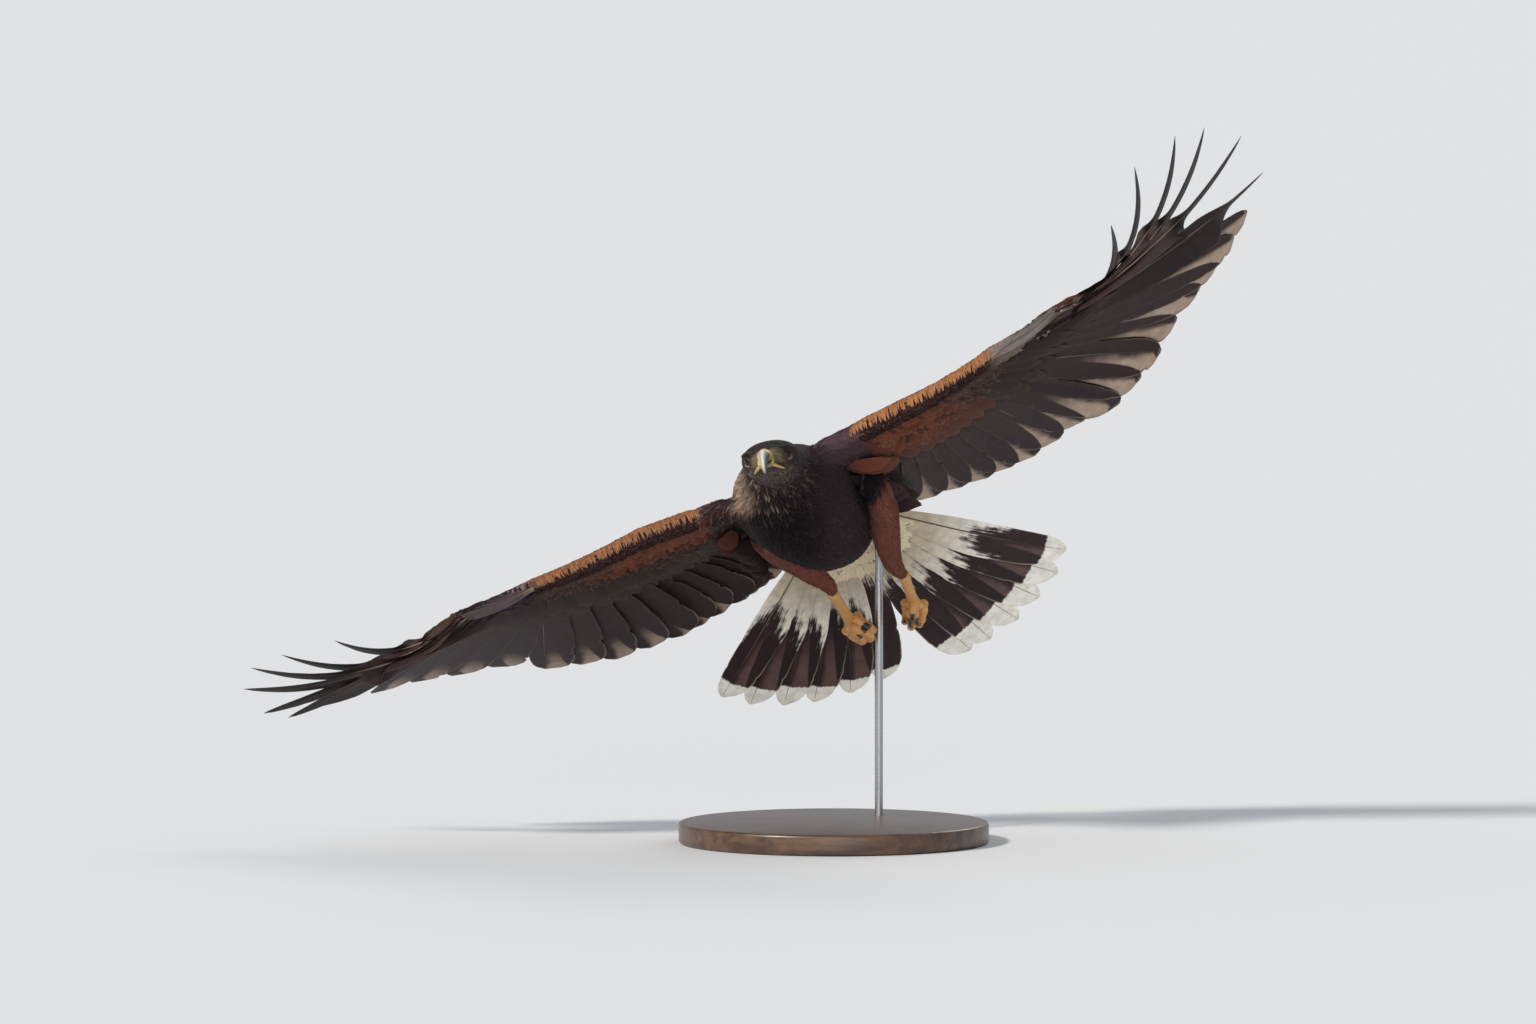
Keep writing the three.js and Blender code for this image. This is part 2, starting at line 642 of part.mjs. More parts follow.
const TALON_RADII = [[0, 2.3], [0.35, 1.9], [0.7, 1.2], [1, 0.3]];

function addLeg(leg, body) {
  const shank = largest(cut(tarsus(leg), [thigh(leg, GAP)]));
  addPart(`thigh_${leg.name}`, largest(cut(thigh(leg), [body])), 'rufousPlumage');
  addPart(`tarsus_${leg.name}`, shank, 'scaledLeg');
  const { back, palm, across } = footFrame(leg);
  const pad = new THREE.SphereGeometry(1, 10, 7);
  const frame = new THREE.Matrix4().makeBasis(across, back, palm);
  pad.applyMatrix4(new THREE.Matrix4().makeScale(10.5, 7, 6));
  pad.applyMatrix4(frame);
  const middle = vector(leg.toes).addScaledVector(back, 5).addScaledVector(palm, 1.5);
  pad.translate(middle.x, middle.y, middle.z);
  let foot = toSolid(pad);
  const hint = across;
  for (const toe of TOES) {
    const radii = [[0, toe.radius], [0.5, toe.radius * 0.9], [1, toe.radius * 0.72]];
    foot = foot.add(toSolid(tube(toeCurve(leg, toe, 0, toe.bend), radii, 5, 6, hint)));
  }
  const hindRadii = [[0, HALLUX.radius], [1, HALLUX.radius * 0.75]];
  foot = foot.add(toSolid(tube(hindCurve(leg, 20, HALLUX.bend), hindRadii, 4, 6, hint)));
  const end = vector(leg.toes).addScaledVector(back, GAP);
  const socket = tube(new THREE.LineCurve3(vector(leg.hock), end), [[0, 6], [1, 6]], 1, 12);
  foot = foot.subtract(toSolid(socket));
  const talons = TOES.map((toe) => {
    const curve = toeCurve(leg, toe, toe.bend + 2, toe.bend + 75);
    return [toe.name, tube(curve, TALON_RADII, 4, 5, hint)];
  });
  const hindTalon = hindCurve(leg, HALLUX.bend + 4, HALLUX.bend + 95);
  talons.push([HALLUX.name, tube(hindTalon, TALON_RADII, 4, 5, hint)]);
  const taken = [];
  for (const [name, talon] of talons) {
    let solid = toSolid(talon).subtract(foot);
    for (const other of taken) solid = solid.subtract(other);
    taken.push(solid);
    const pieces = solid.decompose().sort((a, b) => b.volume() - a.volume());
    addPart(`talon_${leg.name}_${name}`, toGeometry(pieces[0]), 'talon');
  }
  addPart(`foot_${leg.name}`, largest(toGeometry(foot)), 'scaledLeg');
}

// The stand: a turned foot and one rod, its head shaped to the root of the tail.
function addStand(over) {
  const rim = BASE_RADIUS - BASE_EDGE;
  const profile = [
    [0, 0], [BASE_RADIUS, 0], [BASE_RADIUS, BASE_HEIGHT - BASE_EDGE], [rim, BASE_HEIGHT], [0, BASE_HEIGHT],
  ].map(([x, y]) => new THREE.Vector2(x, y));
  const base = new THREE.LatheGeometry(profile, 40);
  base.rotateX(Math.PI / 2);
  addPart('stand_base', base, 'baseWood', model);
  const height = ROD_REACH - BASE_HEIGHT - GAP;
  const rod = new THREE.CylinderGeometry(ROD_RADIUS, ROD_RADIUS, height, 16);
  rod.rotateX(Math.PI / 2);
  rod.translate(ROD_PLACE[0], ROD_PLACE[1], BASE_HEIGHT + GAP + height / 2);
  const pieces = toSolid(cut(rod, over)).decompose().sort((a, b) => b.volume() - a.volume());
  addPart('stand_rod', toGeometry(pieces[0]), 'rodSteel', model);
}

const body = grownBody();
addBody();
addBill();
addWing(LEFT_WING, body);
addWing(RIGHT_WING, body);
addTail();
addLeg(LEFT_LEG, body);
addLeg(RIGHT_LEG, body);
model.updateMatrixWorld(true);
addStand([tailBase(GAP).applyMatrix4(bird.matrixWorld)]);

export default model;
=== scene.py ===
import math

import bmesh
import bpy
import numpy as np
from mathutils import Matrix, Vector
from mathutils.bvhtree import BVHTree


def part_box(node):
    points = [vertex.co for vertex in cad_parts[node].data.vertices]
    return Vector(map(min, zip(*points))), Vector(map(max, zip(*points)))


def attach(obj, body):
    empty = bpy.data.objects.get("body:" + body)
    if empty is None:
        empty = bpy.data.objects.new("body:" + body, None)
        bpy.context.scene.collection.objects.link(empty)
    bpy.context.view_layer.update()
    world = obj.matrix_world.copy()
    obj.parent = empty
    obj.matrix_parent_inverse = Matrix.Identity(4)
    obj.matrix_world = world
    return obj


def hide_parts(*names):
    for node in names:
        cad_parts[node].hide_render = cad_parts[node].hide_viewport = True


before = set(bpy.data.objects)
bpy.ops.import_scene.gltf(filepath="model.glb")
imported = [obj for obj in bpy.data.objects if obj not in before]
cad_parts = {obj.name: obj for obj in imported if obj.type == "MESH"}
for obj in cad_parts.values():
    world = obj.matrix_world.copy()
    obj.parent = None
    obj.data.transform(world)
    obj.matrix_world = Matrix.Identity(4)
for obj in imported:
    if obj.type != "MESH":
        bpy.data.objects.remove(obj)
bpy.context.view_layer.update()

# Everything is worked out in millimetres in the bird's own frame, and placed in metres by to_world.
MM = 0.001

# Attitude of the bird and of its head, in degrees.
BANK = 24
TURN = 10
PITCH = 20
VIEW_RISE = 4
HEAD_BANK = 11
HEAD_TURN = 9
HEAD_PITCH = 6
SHOULDERS = np.array([-55.0, -80.0, 365.0])

# Body, from the eyes back to the tail.
EYES_AT = np.array([15.6, -100.0, -21.0])
TAIL_ROOT = np.array([15.0, 162.0, -13.0])
TAIL_BACK = np.array([-0.1164, 0.873, -0.473])
TAIL_LEFT = np.array([0.984, 0.169, 0.0425])
TAIL_CENTRE_AHEAD = 30
EYE_RADIUS = 6.6
EYE_SIDE = 16.8
EYE_AHEAD = 2.2

# Wing feathers are ranked outwards: 0 is the innermost tertial, 13 the first primary, 22 the tenth.
INNER_RANK = -2
ELBOW_RANK = 2
WRIST_RANK = 12.4
HAND_END_RANK = 22.5
FIRST_FINGER = 17
LAST_FINGER = 22

# One row for each key feather: rank, degrees outboard of straight back, degrees of rise, length,
# and degrees by which the shaft starts lower than the straight line to its tip.
# Sunk is how far the root of the flesh drops into the breast, and shade the brightness of the flight
# feathers from below, lower on the right wing as a painted shade. Glow is the light that shines through
# them, painted into their colour: colour, strength, gloss, and where it starts and is full along the
# feather. Thumb has the shifts of its root and tip, and its colour; the wings differ in it by painted
# light and shade. Hand has the colour of its first coverts, which the wings differ in by painted light
# and shade, and where the painted shadow line behind them starts and ends. Band is the brightness of the
# pale band, lower on the right wing as a painted shade. Axillaries have a shift in height, a share of
# their length and a brightness, low on the right wing as a painted shade.
LEFT_WING = {
    "name": "left",
    "side": 1,
    "shoulder": 84,
    "coverts": -1.6,
    "joints": [(58, 8, -9), (138, 25, -8), (243, -36, 3), (325, -26, 22)],
    "lead": (26, 22, 15, 5),
    "web": (0, -30, 9),
    "fan": [
        (-2, -6, -5, 118, -5), (0, -14, -4, 160, -5), (2, -12, -3, 180, -5),
        (4, -1, -5, 188, -5), (6, 9, -6.4, 192, -5), (8, 21, -5.3, 195, -5),
        (9, 31, -7, 199, -4), (11, 43, -1, 210, -3), (12, 47, 4, 220, 0),
        (13, 54.5, 7, 232, 3), (15, 64, 11, 252, 7), (16, 66, 14, 266, 10),
        (17, 73, 17, 284, 13), (18, 69.5, 26.5, 289, 21), (19, 58, 35, 285, 28),
        (20, 53, 39.5, 260, 31), (21, 43, 44, 214, 34), (22, 29, 40, 152, 31),
    ],
    "bow": 0.75,
    "twist": 14,
    "notches": (0.8, 0.62, 0.58, 0.56, 0.48, 0.28),
    "sunk": 12.0,
    "shade": 1.0,
    "glow": ((0.42, 0.315, 0.235), 0.95, 0.18, (0.5, 0.82)),
    "thumb": ((0, 3, -6), (0, -2, 2), (132, 122, 118)),
    "hand": ((112, 98, 90), 12, 23),
    "band": 1.0,
    "axillaries": (0, 1.0, 1.0),
}
RIGHT_WING = {
    "name": "right",
    "side": -1,
    "shoulder": 74,
    "coverts": -1.9,
    "joints": [(-58, 8, -20), (-145, 20, -15), (-254, -34, -22), (-340, -26, -14)],
    "lead": (26, 22, 15, 5),
    "web": (0, -26, 4),
    "fan": [
        (-2, -10, -8, 118, -5), (0, -30, -8, 150, -5), (2, -27, -8, 170, -5),
        (5, -23, -8.3, 188, -5), (6, -17.5, -8.8, 190, -5), (8, -10, -10, 193, -5),
        (10, 5, -7.6, 200, -4), (12, 18, -2.5, 205, 0), (13, 29, 2.5, 206, 3),
        (15, 47, 4, 214, 3), (16, 56, 3.5, 224, 3), (17, 75, 1, 260, 4),
        (18, 74, 4.5, 278, 8), (19, 76.5, 10, 278, 22), (20, 77, 14, 256, 31),
        (21, 75.6, 16, 214, 36), (22, 71, 18.5, 151, 35),
    ],
    "bow": 0.3,
    "twist": -5,
    "notches": (0.81, 0.62, 0.6, 0.57, 0.53, 0.45),
    "sunk": 19.0,
    "shade": 0.86,
    "glow": ((0.35, 0.26, 0.195), 0.9, 0.15, (0.74, 0.97)),
    "thumb": ((0, 3, -5), (0, -2, -5), (84, 70, 72)),
    "hand": ((94, 78, 78), -5, 21),
    "band": 0.8,
    "axillaries": (-15, 0.5, 0.4),
}
WINGS = (LEFT_WING, RIGHT_WING)

# Tail feathers: degrees from the middle of the fan, and length from the fan's centre.
RIGHT_RECTRICES = [(-5.5, 247), (-13.5, 252), (-21.5, 255), (-29.5, 256), (-37.5, 256), (-44.5, 252)]
LEFT_RECTRICES = [(12.5, 262), (18.5, 264), (25.5, 266), (32.5, 265), (39.5, 263), (45.5, 256)]
RECTRIX_STEP = 1.25
RECTRIX_ROOT = 34

# Legs: knee, hock, root of the toes, and the direction in which the palm faces.
LEFT_LEG = {
    "name": "left",
    "side": 1,
    "knee": (65.5, 37, -29),
    "thigh": ((75.5, 59, -48), (59.5, 94.5, -77)),
    "thick": 1.0,
    "rufous": 0.16,
    "hock": (57, 130, -103),
    "toes": (44, 199, -107),
    "fist": (-0.49, 0.22, -0.85),
    "curl": -42,
    "tuck": 0.15,
    "pad": 7.0,
}
RIGHT_LEG = {
    "name": "right",
    "side": -1,
    "knee": (-40, 24, -40),
    "thigh": ((-38, 52, -55.6), (-19.6, 91.7, -77)),
    "thick": 0.84,
    "rufous": 0.05,
    "hock": (-13, 120, -94),
    "toes": (-20, 195, -101),
    "fist": (0.44, 0.38, -0.81),
    "curl": 22,
    "tuck": 0.92,
    "pad": 10.5,
}
LEGS = (LEFT_LEG, RIGHT_LEG)

# Rings of the head: behind the eyes, half-width, top, bottom and height of the middle.
HEAD_ROWS = np.array([
    (-21, 7.4, 6.4, -8, -1.6), (-17.5, 9.8, 7.8, -10.4, -1.2), (-13, 14, 10.8, -13.4, -1),
    (-8, 19, 14, -16.4, -1), (-3, 24.2, 16.2, -19.2, -0.5), (3, 28, 17.6, -21.6, 0),
    (10, 29.6, 18.6, -23.6, 0), (18, 29.4, 18.8, -25.2, 0), (25, 28.4, 18.4, -26.6, 0),
    (32, 28.6, 17.6, -28, 0),
])
# Rings of the trunk: along the back, middle to the left, half-width, top and bottom.
TRUNK_ROWS = np.array([
    (-50, 7, 37, 9, -50), (-28, 3, 50, 17, -64), (5, 2, 58, 26, -76), (40, 4, 59, 29, -84),
    (75, 8, 56, 28, -87), (105, 12, 48, 21, -82), (130, 15, 38, 12, -66), (150, 17, 29, 4, -44),
])
# Rings of the tail's root: distance from the fan's centre, half-width, top and bottom.
TAIL_ROOT_ROWS = np.array([(32, 26, 17, -19), (44, 30, 12, -18), (56, 36, 8, -15), (65, 40, 5, -12)])


def axis_turn(axis, degrees):
    """Rotation about the x, y or z axis."""
    c, s = math.cos(math.radians(degrees)), math.sin(math.radians(degrees))
    rows = {
        "x": [(1, 0, 0), (0, c, -s), (0, s, c)],
        "y": [(c, 0, s), (0, 1, 0), (-s, 0, c)],
        "z": [(c, -s, 0), (s, c, 0), (0, 0, 1)],
    }
    return np.array(rows[axis], float)


def attitude(bank, turn, pitch):
    return axis_turn("y", -bank) @ axis_turn("z", -turn) @ axis_turn("x", -pitch)


BIRD_TURN = attitude(BANK, TURN, PITCH)
WORLD_TURN = axis_turn("x", -VIEW_RISE) @ BIRD_TURN
HEAD_TURN_IN_BIRD = BIRD_TURN.T @ attitude(HEAD_BANK, HEAD_TURN, HEAD_PITCH)


def to_world(points):
    return (np.asarray(points, float) @ WORLD_TURN.T + SHOULDERS) * MM


def to_bird(points):
    """From metres in the world back to the bird's own millimetres."""
    return (np.asarray(points, float) / MM - SHOULDERS) @ WORLD_TURN


def from_head(points):
    return np.asarray(points, float) @ HEAD_TURN_IN_BIRD.T + EYES_AT


def to_head(points):
    return (np.asarray(points, float) - EYES_AT) @ HEAD_TURN_IN_BIRD


def unit(vectors):
    vectors = np.asarray(vectors, float)
    return vectors / np.maximum(np.linalg.norm(vectors, axis=-1, keepdims=True), 1e-9)


def smooth(low, high, value):
    share = np.clip((np.asarray(value, float) - low) / (high - low), 0, 1)
    return share * share * (3 - 2 * share)


def column(rows, at, k=1):
    """In-between values of one column of a table, whose first column is the place."""
    rows = np.asarray(rows, float)
    return np.interp(at, rows[:, 0], rows[:, k])


# Wing lines. Root and tip of a feather are this share of its length apart, because it is bent.
SHAFT_SHARE = 0.99
JOINT_RANKS = (INNER_RANK, ELBOW_RANK, WRIST_RANK, HAND_END_RANK)


def bone_at(wing, rank):
    joints = np.array(wing["joints"], float)
    return np.stack([np.interp(rank, JOINT_RANKS, joints[:, k]) for k in range(3)], -1)


def lead_at(wing, rank):
    rank = np.asarray(rank, float)
    ahead = np.interp(rank, JOINT_RANKS, wing["lead"])
    from_elbow = np.maximum(0, 1 - np.abs(rank - ELBOW_RANK) / (WRIST_RANK - ELBOW_RANK)) ** 1.5
    droop = np.interp(rank, (-2, 6, 12.4, 22), (3.5, 3, 1.5, 0))
    shift = np.stack([0 * ahead, -ahead, 1.5 - droop], -1)
    return bone_at(wing, rank) + shift + from_elbow[..., None] * np.array(wing["web"], float)


def aim(side, outboard, rise):
    a, b = np.radians(outboard), np.radians(rise)
    return np.stack([side * np.sin(a) * np.cos(b), np.cos(a) * np.cos(b), np.sin(b)], -1)


def shaft_ends(wing, rank):
    """Root, bend and tip of the curve that a feather's shaft follows."""
    rank = np.asarray(rank, float)
    outboard, rise, length, sag = (column(wing["fan"], rank, k) for k in (1, 2, 3, 4))
    root = bone_at(wing, rank)
    tip = root + aim(wing["side"], outboard, rise) * (length * SHAFT_SHARE)[..., None]
    start = aim(wing["side"], outboard + np.maximum(sag, 0) * wing["bow"], rise - sag)
    return root, root + start * (length * 0.5)[..., None], tip


def shaft_point(wing, rank, share):
    root, bend, tip = shaft_ends(wing, rank)
    t = np.asarray(share, float)[..., None]
    return root * (1 - t) ** 2 + bend * 2 * t * (1 - t) + tip * t * t


# Tail lines.
tail_back = unit(TAIL_BACK)
tail_left = unit(TAIL_LEFT)
tail_up = unit(np.cross(tail_left, tail_back))
tail_centre = TAIL_ROOT - tail_back * TAIL_CENTRE_AHEAD


def tail_point(angle, reach, up):
    a = np.radians(angle)
    angle, reach, up = np.broadcast_arrays(a, np.asarray(reach, float), np.asarray(up, float))
    sideways = (np.sin(angle) * reach)[..., None] * tail_left
    backwards = (np.cos(angle) * reach)[..., None] * tail_back
    return tail_centre + sideways + backwards + up[..., None] * tail_up


# Meshes.
def add_mesh(name, points, faces, maps=None, values=None, smooth_angle=None):
    """A mesh object from points in bird millimetres, with its UV maps and the values of its points."""
    mesh = bpy.data.meshes.new(name)
    points = to_world(points)
    faces = [np.asarray(group, np.int64) for group in faces if len(group)]
    counts = np.concatenate([np.full(len(group), group.shape[1]) for group in faces])
    corners = np.concatenate([group.ravel() for group in faces])
    mesh.vertices.add(len(points))
    mesh.vertices.foreach_set("co", points.astype(np.float32).ravel())
    mesh.loops.add(len(corners))
    mesh.loops.foreach_set("vertex_index", corners.astype(np.int32))
    mesh.polygons.add(len(counts))
    starts = np.concatenate([[0], np.cumsum(counts)[:-1]])
    mesh.polygons.foreach_set("loop_start", starts.astype(np.int32))
    mesh.polygons.foreach_set("loop_total", counts.astype(np.int32))
    for map_name, coordinates in (maps or {}).items():
        layer = mesh.uv_layers.new(name=map_name)
        if len(coordinates) == len(points):
            coordinates = coordinates[corners]
        layer.data.foreach_set("uv", np.asarray(coordinates, np.float32).ravel())
    for value_name, numbers in (values or {}).items():
        numbers = np.asarray(numbers, np.float32)
        if numbers.ndim == 1:
            layer = mesh.attributes.new(value_name, "FLOAT", "POINT")
            layer.data.foreach_set("value", numbers)
        else:
            layer = mesh.attributes.new(value_name, "FLOAT_COLOR", "POINT")
            alpha = np.ones((len(numbers), 1), np.float32)
            layer.data.foreach_set("color", np.hstack([numbers, alpha]).ravel())
    mesh.update(calc_edges=True)
    mesh.validate()
    mesh.polygons.foreach_set("use_smooth", np.ones(len(mesh.polygons), bool))
    piece = bpy.data.objects.new(name, mesh)
    bpy.context.scene.collection.objects.link(piece)
    if smooth_angle is not None:
        mesh.set_sharp_from_angle(angle=math.radians(smooth_angle))
    return piece


def dress(piece, material, replaced=()):
    piece.data.materials.clear()
    piece.data.materials.append(material)
    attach(piece, "root")
    if replaced:
        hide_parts(*replaced)


def linear(red, green, blue):
    """A colour given as it looks on a screen, 0 to 255, in linear light."""
    value = np.array([red, green, blue], float) / 255
    return np.where(value <= 0.04045, value / 12.92, ((value + 0.055) / 1.055) ** 2.4)


def refine(keys, steps):
    """Smooth in-between entries for a list of numbers, rows or rings."""
    keys = np.asarray(keys, float)
    padded = np.concatenate([[2 * keys[0] - keys[1]], keys, [2 * keys[-1] - keys[-2]]])
    made = []
    for k in range(len(keys) - 1):
        a, b, c, d = padded[k:k + 4]
        for t in np.arange(steps) / steps:
            square = (2 * a - 5 * b + 4 * c - d) * t ** 2
            cube = (3 * b - a - 3 * c + d) * t ** 3
            made.append(0.5 * (2 * b + (c - a) * t + square + cube))
    made.append(keys[-1])
    return np.array(made)


def ring(centre, right, up, width, top, bottom, count, square=1.0):
    a = np.arange(count) / count * 2 * np.pi
    c = np.sign(np.cos(a)) * np.abs(np.cos(a)) ** square
    d = np.sign(np.sin(a)) * np.abs(np.sin(a)) ** square
    height = np.where(d >= 0, d * top, -d * bottom)
    return np.asarray(centre, float) + np.outer(c * width, right) + np.outer(height, up)


def loft_faces(rings, sides):
    """Quads between rings, and one face over each end."""
    r, s = np.meshgrid(np.arange(rings - 1), np.arange(sides), indexing="ij")
    a = r * sides + s
    b = r * sides + (s + 1) % sides
    quads = np.stack([a, b, b + sides, a + sides], -1).reshape(-1, 4)
    ends = np.arange(sides)
    return [quads, np.array([ends[::-1], (rings - 1) * sides + ends])]


def add_loft(name, rings, values=None):
    """A closed tube through rings, with its normals turned outwards."""
    rings = np.asarray(rings, float)
    piece = add_mesh(name, rings.reshape(-1, 3), loft_faces(*rings.shape[:2]), values=values)
    outward(piece)
    return piece


def outward(piece):
    mesh = bmesh.new()
    mesh.from_mesh(piece.data)
    if mesh.calc_volume(signed=True) < 0:
        bmesh.ops.reverse_faces(mesh, faces=mesh.faces)
    mesh.to_mesh(piece.data)
    mesh.free()


def add_sphere(segments, rings):
    """A sphere of radius 1, and its points."""
    bpy.ops.mesh.primitive_uv_sphere_add(segments=segments, ring_count=rings, radius=1)
    sphere = bpy.context.object
    points = np.empty(len(sphere.data.vertices) * 3)
    sphere.data.vertices.foreach_get("co", points)
    return sphere, points.reshape(-1, 3)


def fuse(parts, name, voxel, rounds):
    """Makes overlapping solids one closed mesh, and relaxes it."""
    bpy.ops.object.select_all(action="DESELECT")
    for part in parts:
        part.select_set(True)
    bpy.context.view_layer.objects.active = parts[0]
    bpy.ops.object.join()
    piece = bpy.context.view_layer.objects.active
    piece.name = name
    remesh = piece.modifiers.new("remesh", "REMESH")
    remesh.mode = "VOXEL"
    remesh.voxel_size = voxel * MM
    bpy.ops.object.modifier_apply(modifier="remesh")
    relax = piece.modifiers.new("relax", "SMOOTH")
    relax.iterations = rounds
    bpy.ops.object.modifier_apply(modifier="relax")
    piece.data.polygons.foreach_set("use_smooth", np.ones(len(piece.data.polygons), bool))
    return piece


def tube_rings(points, radii, sides, hint=(0, 0, 1), flat=1.0):
    """Rings of a round or flattened tube along a line of points."""
    points = np.asarray(points, float)
    along = unit(np.gradient(points, axis=0))
    right = unit(np.cross(along, np.asarray(hint, float)))
    up = np.cross(right, along)
    a = np.arange(sides) / sides * 2 * np.pi
    radii = np.broadcast_to(np.asarray(radii, float), len(points))[:, None, None]
    round_part = np.cos(a)[None, :, None] * right[:, None] + flat * np.sin(a)[None, :, None] * up[:, None]
    return points[:, None] + radii * round_part


def bezier(a, b, c, shares):
    t = np.asarray(shares, float)[:, None]
    a, b, c = (np.asarray(p, float) for p in (a, b, c))
    return a * (1 - t) ** 2 + b * 2 * t * (1 - t) + c * t * t


# The flesh under the coat: sides of a body ring, depth of the coat at face, body, wings and thighs,
# and size of the cells in which skin and feet are fused.
BODY_SIDES = 32
FACE_COAT = 1.2
BODY_COAT = 3.6
WING_COAT = 2.4
THIGH_COAT = 2.2
SKIN_VOXEL = 1.9
FOOT_VOXEL = 0.6


def head_ring(behind, width, top, bottom, middle):
    coat = FACE_COAT + 0.8 * smooth(0, 30, behind)
    points = ring((0, behind, middle), (1, 0, 0), (0, 0, 1), width - coat, top - coat, bottom + coat,
                  BODY_SIDES, 0.94)
    return from_head(points)


def trunk_ring(along, left, width, top, bottom):
    middle = (top + bottom) / 2
    half = top - middle - BODY_COAT
    return ring((left, along, middle), (1, 0, 0), (0, 0, 1), width - BODY_COAT, half, -half, BODY_SIDES)


def body_rings():
    head = [head_ring(*row) for row in HEAD_ROWS]
    trunk = [trunk_ring(*row) for row in TRUNK_ROWS]
    neck = []
    for share in (0.25, 0.5, 0.75):
        mix = 0.35 * smooth(0, 1, share) + 0.65 * share
        neck.append(head[-1] * (1 - mix) + trunk[0] * mix)
    root = []
    for reach, width, top, bottom in TAIL_ROOT_ROWS:
        centre = tail_point(0, reach, 0)
        root.append(ring(centre, tail_left, tail_up, width - 3, top - 3, bottom + 3, BODY_SIDES))
    return refine(np.array(head + neck + trunk + root), 4)


# Wing surfaces. A place on a wing is its rank and its distance in millimetres behind the leading edge.
FLESH_THICKNESS = ((-2, 22), (2, 21), (12.4, 16), (22.5, 6))
FLESH_START = 2.2
FLESH_END = 0.2


def fore_length(wing, rank):
    return np.linalg.norm(lead_at(wing, rank) - bone_at(wing, rank), axis=-1)


def shaft_length(wing, rank):
    return column(wing["fan"], rank, 3) * SHAFT_SHARE


def chord_line(wing, rank, back):
    """Middle surface of the wing: leading edge to bone, then along the shafts."""
    rank, back = np.broadcast_arrays(np.asarray(rank, float), np.asarray(back, float))
    fore = fore_length(wing, rank)
    lead, bone = lead_at(wing, rank), bone_at(wing, rank)
    ahead = lead + (bone - lead) * (np.minimum(back, fore) / fore)[..., None]
    share = np.clip((back - fore) / shaft_length(wing, rank), 0, 1.1)
    return np.where((back < fore)[..., None], ahead, shaft_point(wing, rank, share))


def middle_surface(wing, rank, back):
    steps = (-7, -3.5, 0, 3.5, 7)
    shifts = [np.minimum(abs(step), np.maximum(back, 0)) * np.sign(step) for step in steps]
    return sum(chord_line(wing, rank, back + shift) for shift in shifts) / len(steps)


def half_thickness(wing, rank, back, upper):
    fore = fore_length(wing, rank)
    thick = column(FLESH_THICKNESS, rank) / 2
    nose = np.clip(back / np.minimum(thick * 1.15, fore), 0, 1)
    round_nose = np.sqrt(1 - (1 - nose) ** 2)
    behind = (back - fore * 0.85) / shaft_length(wing, rank)
    if upper:
        tail = 1 - smooth(0, 0.34, behind)
    else:
        # The lining hangs low behind the leading roll, with a groove between them.
        groove = np.exp(-((back - 0.62 * fore - 8) / 5.5) ** 2) * smooth(14, 24, fore)
        tail = (1 - 0.22 * groove) * (1 - smooth(0.12, 0.55, behind))
    return thick * round_nose * tail + 1.3 * smooth(0.0, 8.0, back)


def wing_surface(wing, rank, back, upper):
    """Point and outward normal of a wing's upper or lower surface."""
    rank, back = np.broadcast_arrays(np.asarray(rank, float), np.asarray(back, float))
    sign = 1 if upper else -1

    def place(r, x):
        shift = np.zeros(r.shape + (3,))
        shift[..., 2] = sign * half_thickness(wing, r, x, upper)
        return middle_surface(wing, r, x) + shift

    point = place(rank, back)
    outboard = place(rank + 0.05, back) - place(rank - 0.05, back)
    rearward = place(rank, back + 0.6) - place(rank, np.maximum(back - 0.6, 0))
    normal = unit(np.cross(outboard, rearward)) * (sign * wing["side"])
    return point, normal


def wing_flesh(wing):
    ranks = np.linspace(-2.0, 20.5, 70)
    steps = np.linspace(0, 1, 15) ** 1.5
    rings = []
    for rank in ranks:
        reach = fore_length(wing, rank) + FLESH_END * shaft_length(wing, rank)
        back = FLESH_START + steps * (reach - FLESH_START)
        sheets = []
        for upper in (True, False):
            points, normals = wing_surface(wing, np.full(len(back), rank), back, upper)
            depth = np.minimum(WING_COAT, 0.6 * half_thickness(wing, rank, back, upper))[:, None]
            sheets.append(points - normals * depth)
        rings.append(np.concatenate([sheets[0], sheets[1][::-1]]))
    # The shoulder carries the first section inwards, into the side of the neck and breast.
    first = rings[0]
    inner = []
    for share in (1.0, 0.8, 0.6, 0.4, 0.2):
        moved = first - np.array([wing["side"] * 36.0, 4.0, wing["sunk"]]) * share
        middle = moved.mean(0)
        inner.append(middle + (moved - middle) * (1 + 0.35 * share))
    return inner + rings


def thigh_line(leg, shares):
    """Smooth curve through the knee, two places along the thigh and the hock."""
    places = np.array([leg["knee"], *leg["thigh"], leg["hock"]], float)
    at = np.linspace(0, 1, 4)
    t = np.asarray(shares, float)[:, None]
    line = np.zeros((len(t), 3))
    for k in range(4):
        others = [j for j in range(4) if j != k]
        weight = np.prod([(t - at[j]) / (at[k] - at[j]) for j in others], axis=0)
        line = line + weight * places[k]
    return line


# Radius at each share of the thigh's length.
THIGH_RADII = ((0, 14), (0.33, 15), (0.66, 13.4), (0.88, 8.8), (1, 5.6))


# Ridges of the face, on the left: three places on the middle line, number of rings, radius, power
# and start of the swell, and flatness. The brow runs from the cere to the temple, and the cheek is
# the muscle of the jaw.
BROW = (((9, -19, 6.5), (22, -13.5, 7.0), (25.5, 6, 6.0)), 12, 3.3, 0.6, 0.25, 0.62)
CHEEK = (((8, -12, -11), (17, -4, -13), (20, 12, -11)), 10, 5.2, 0.7, 0.3, 1.0)


def ridge_rings(side, places, count, radius, power, start, flat):
    line = bezier(*(np.array(place) * (side, 1, 1) for place in places), np.linspace(0, 1, count))
    radii = radius * np.sin(np.linspace(start, np.pi - 0.3, count)) ** power
    return from_head(tube_rings(line, radii, 12, flat=flat))


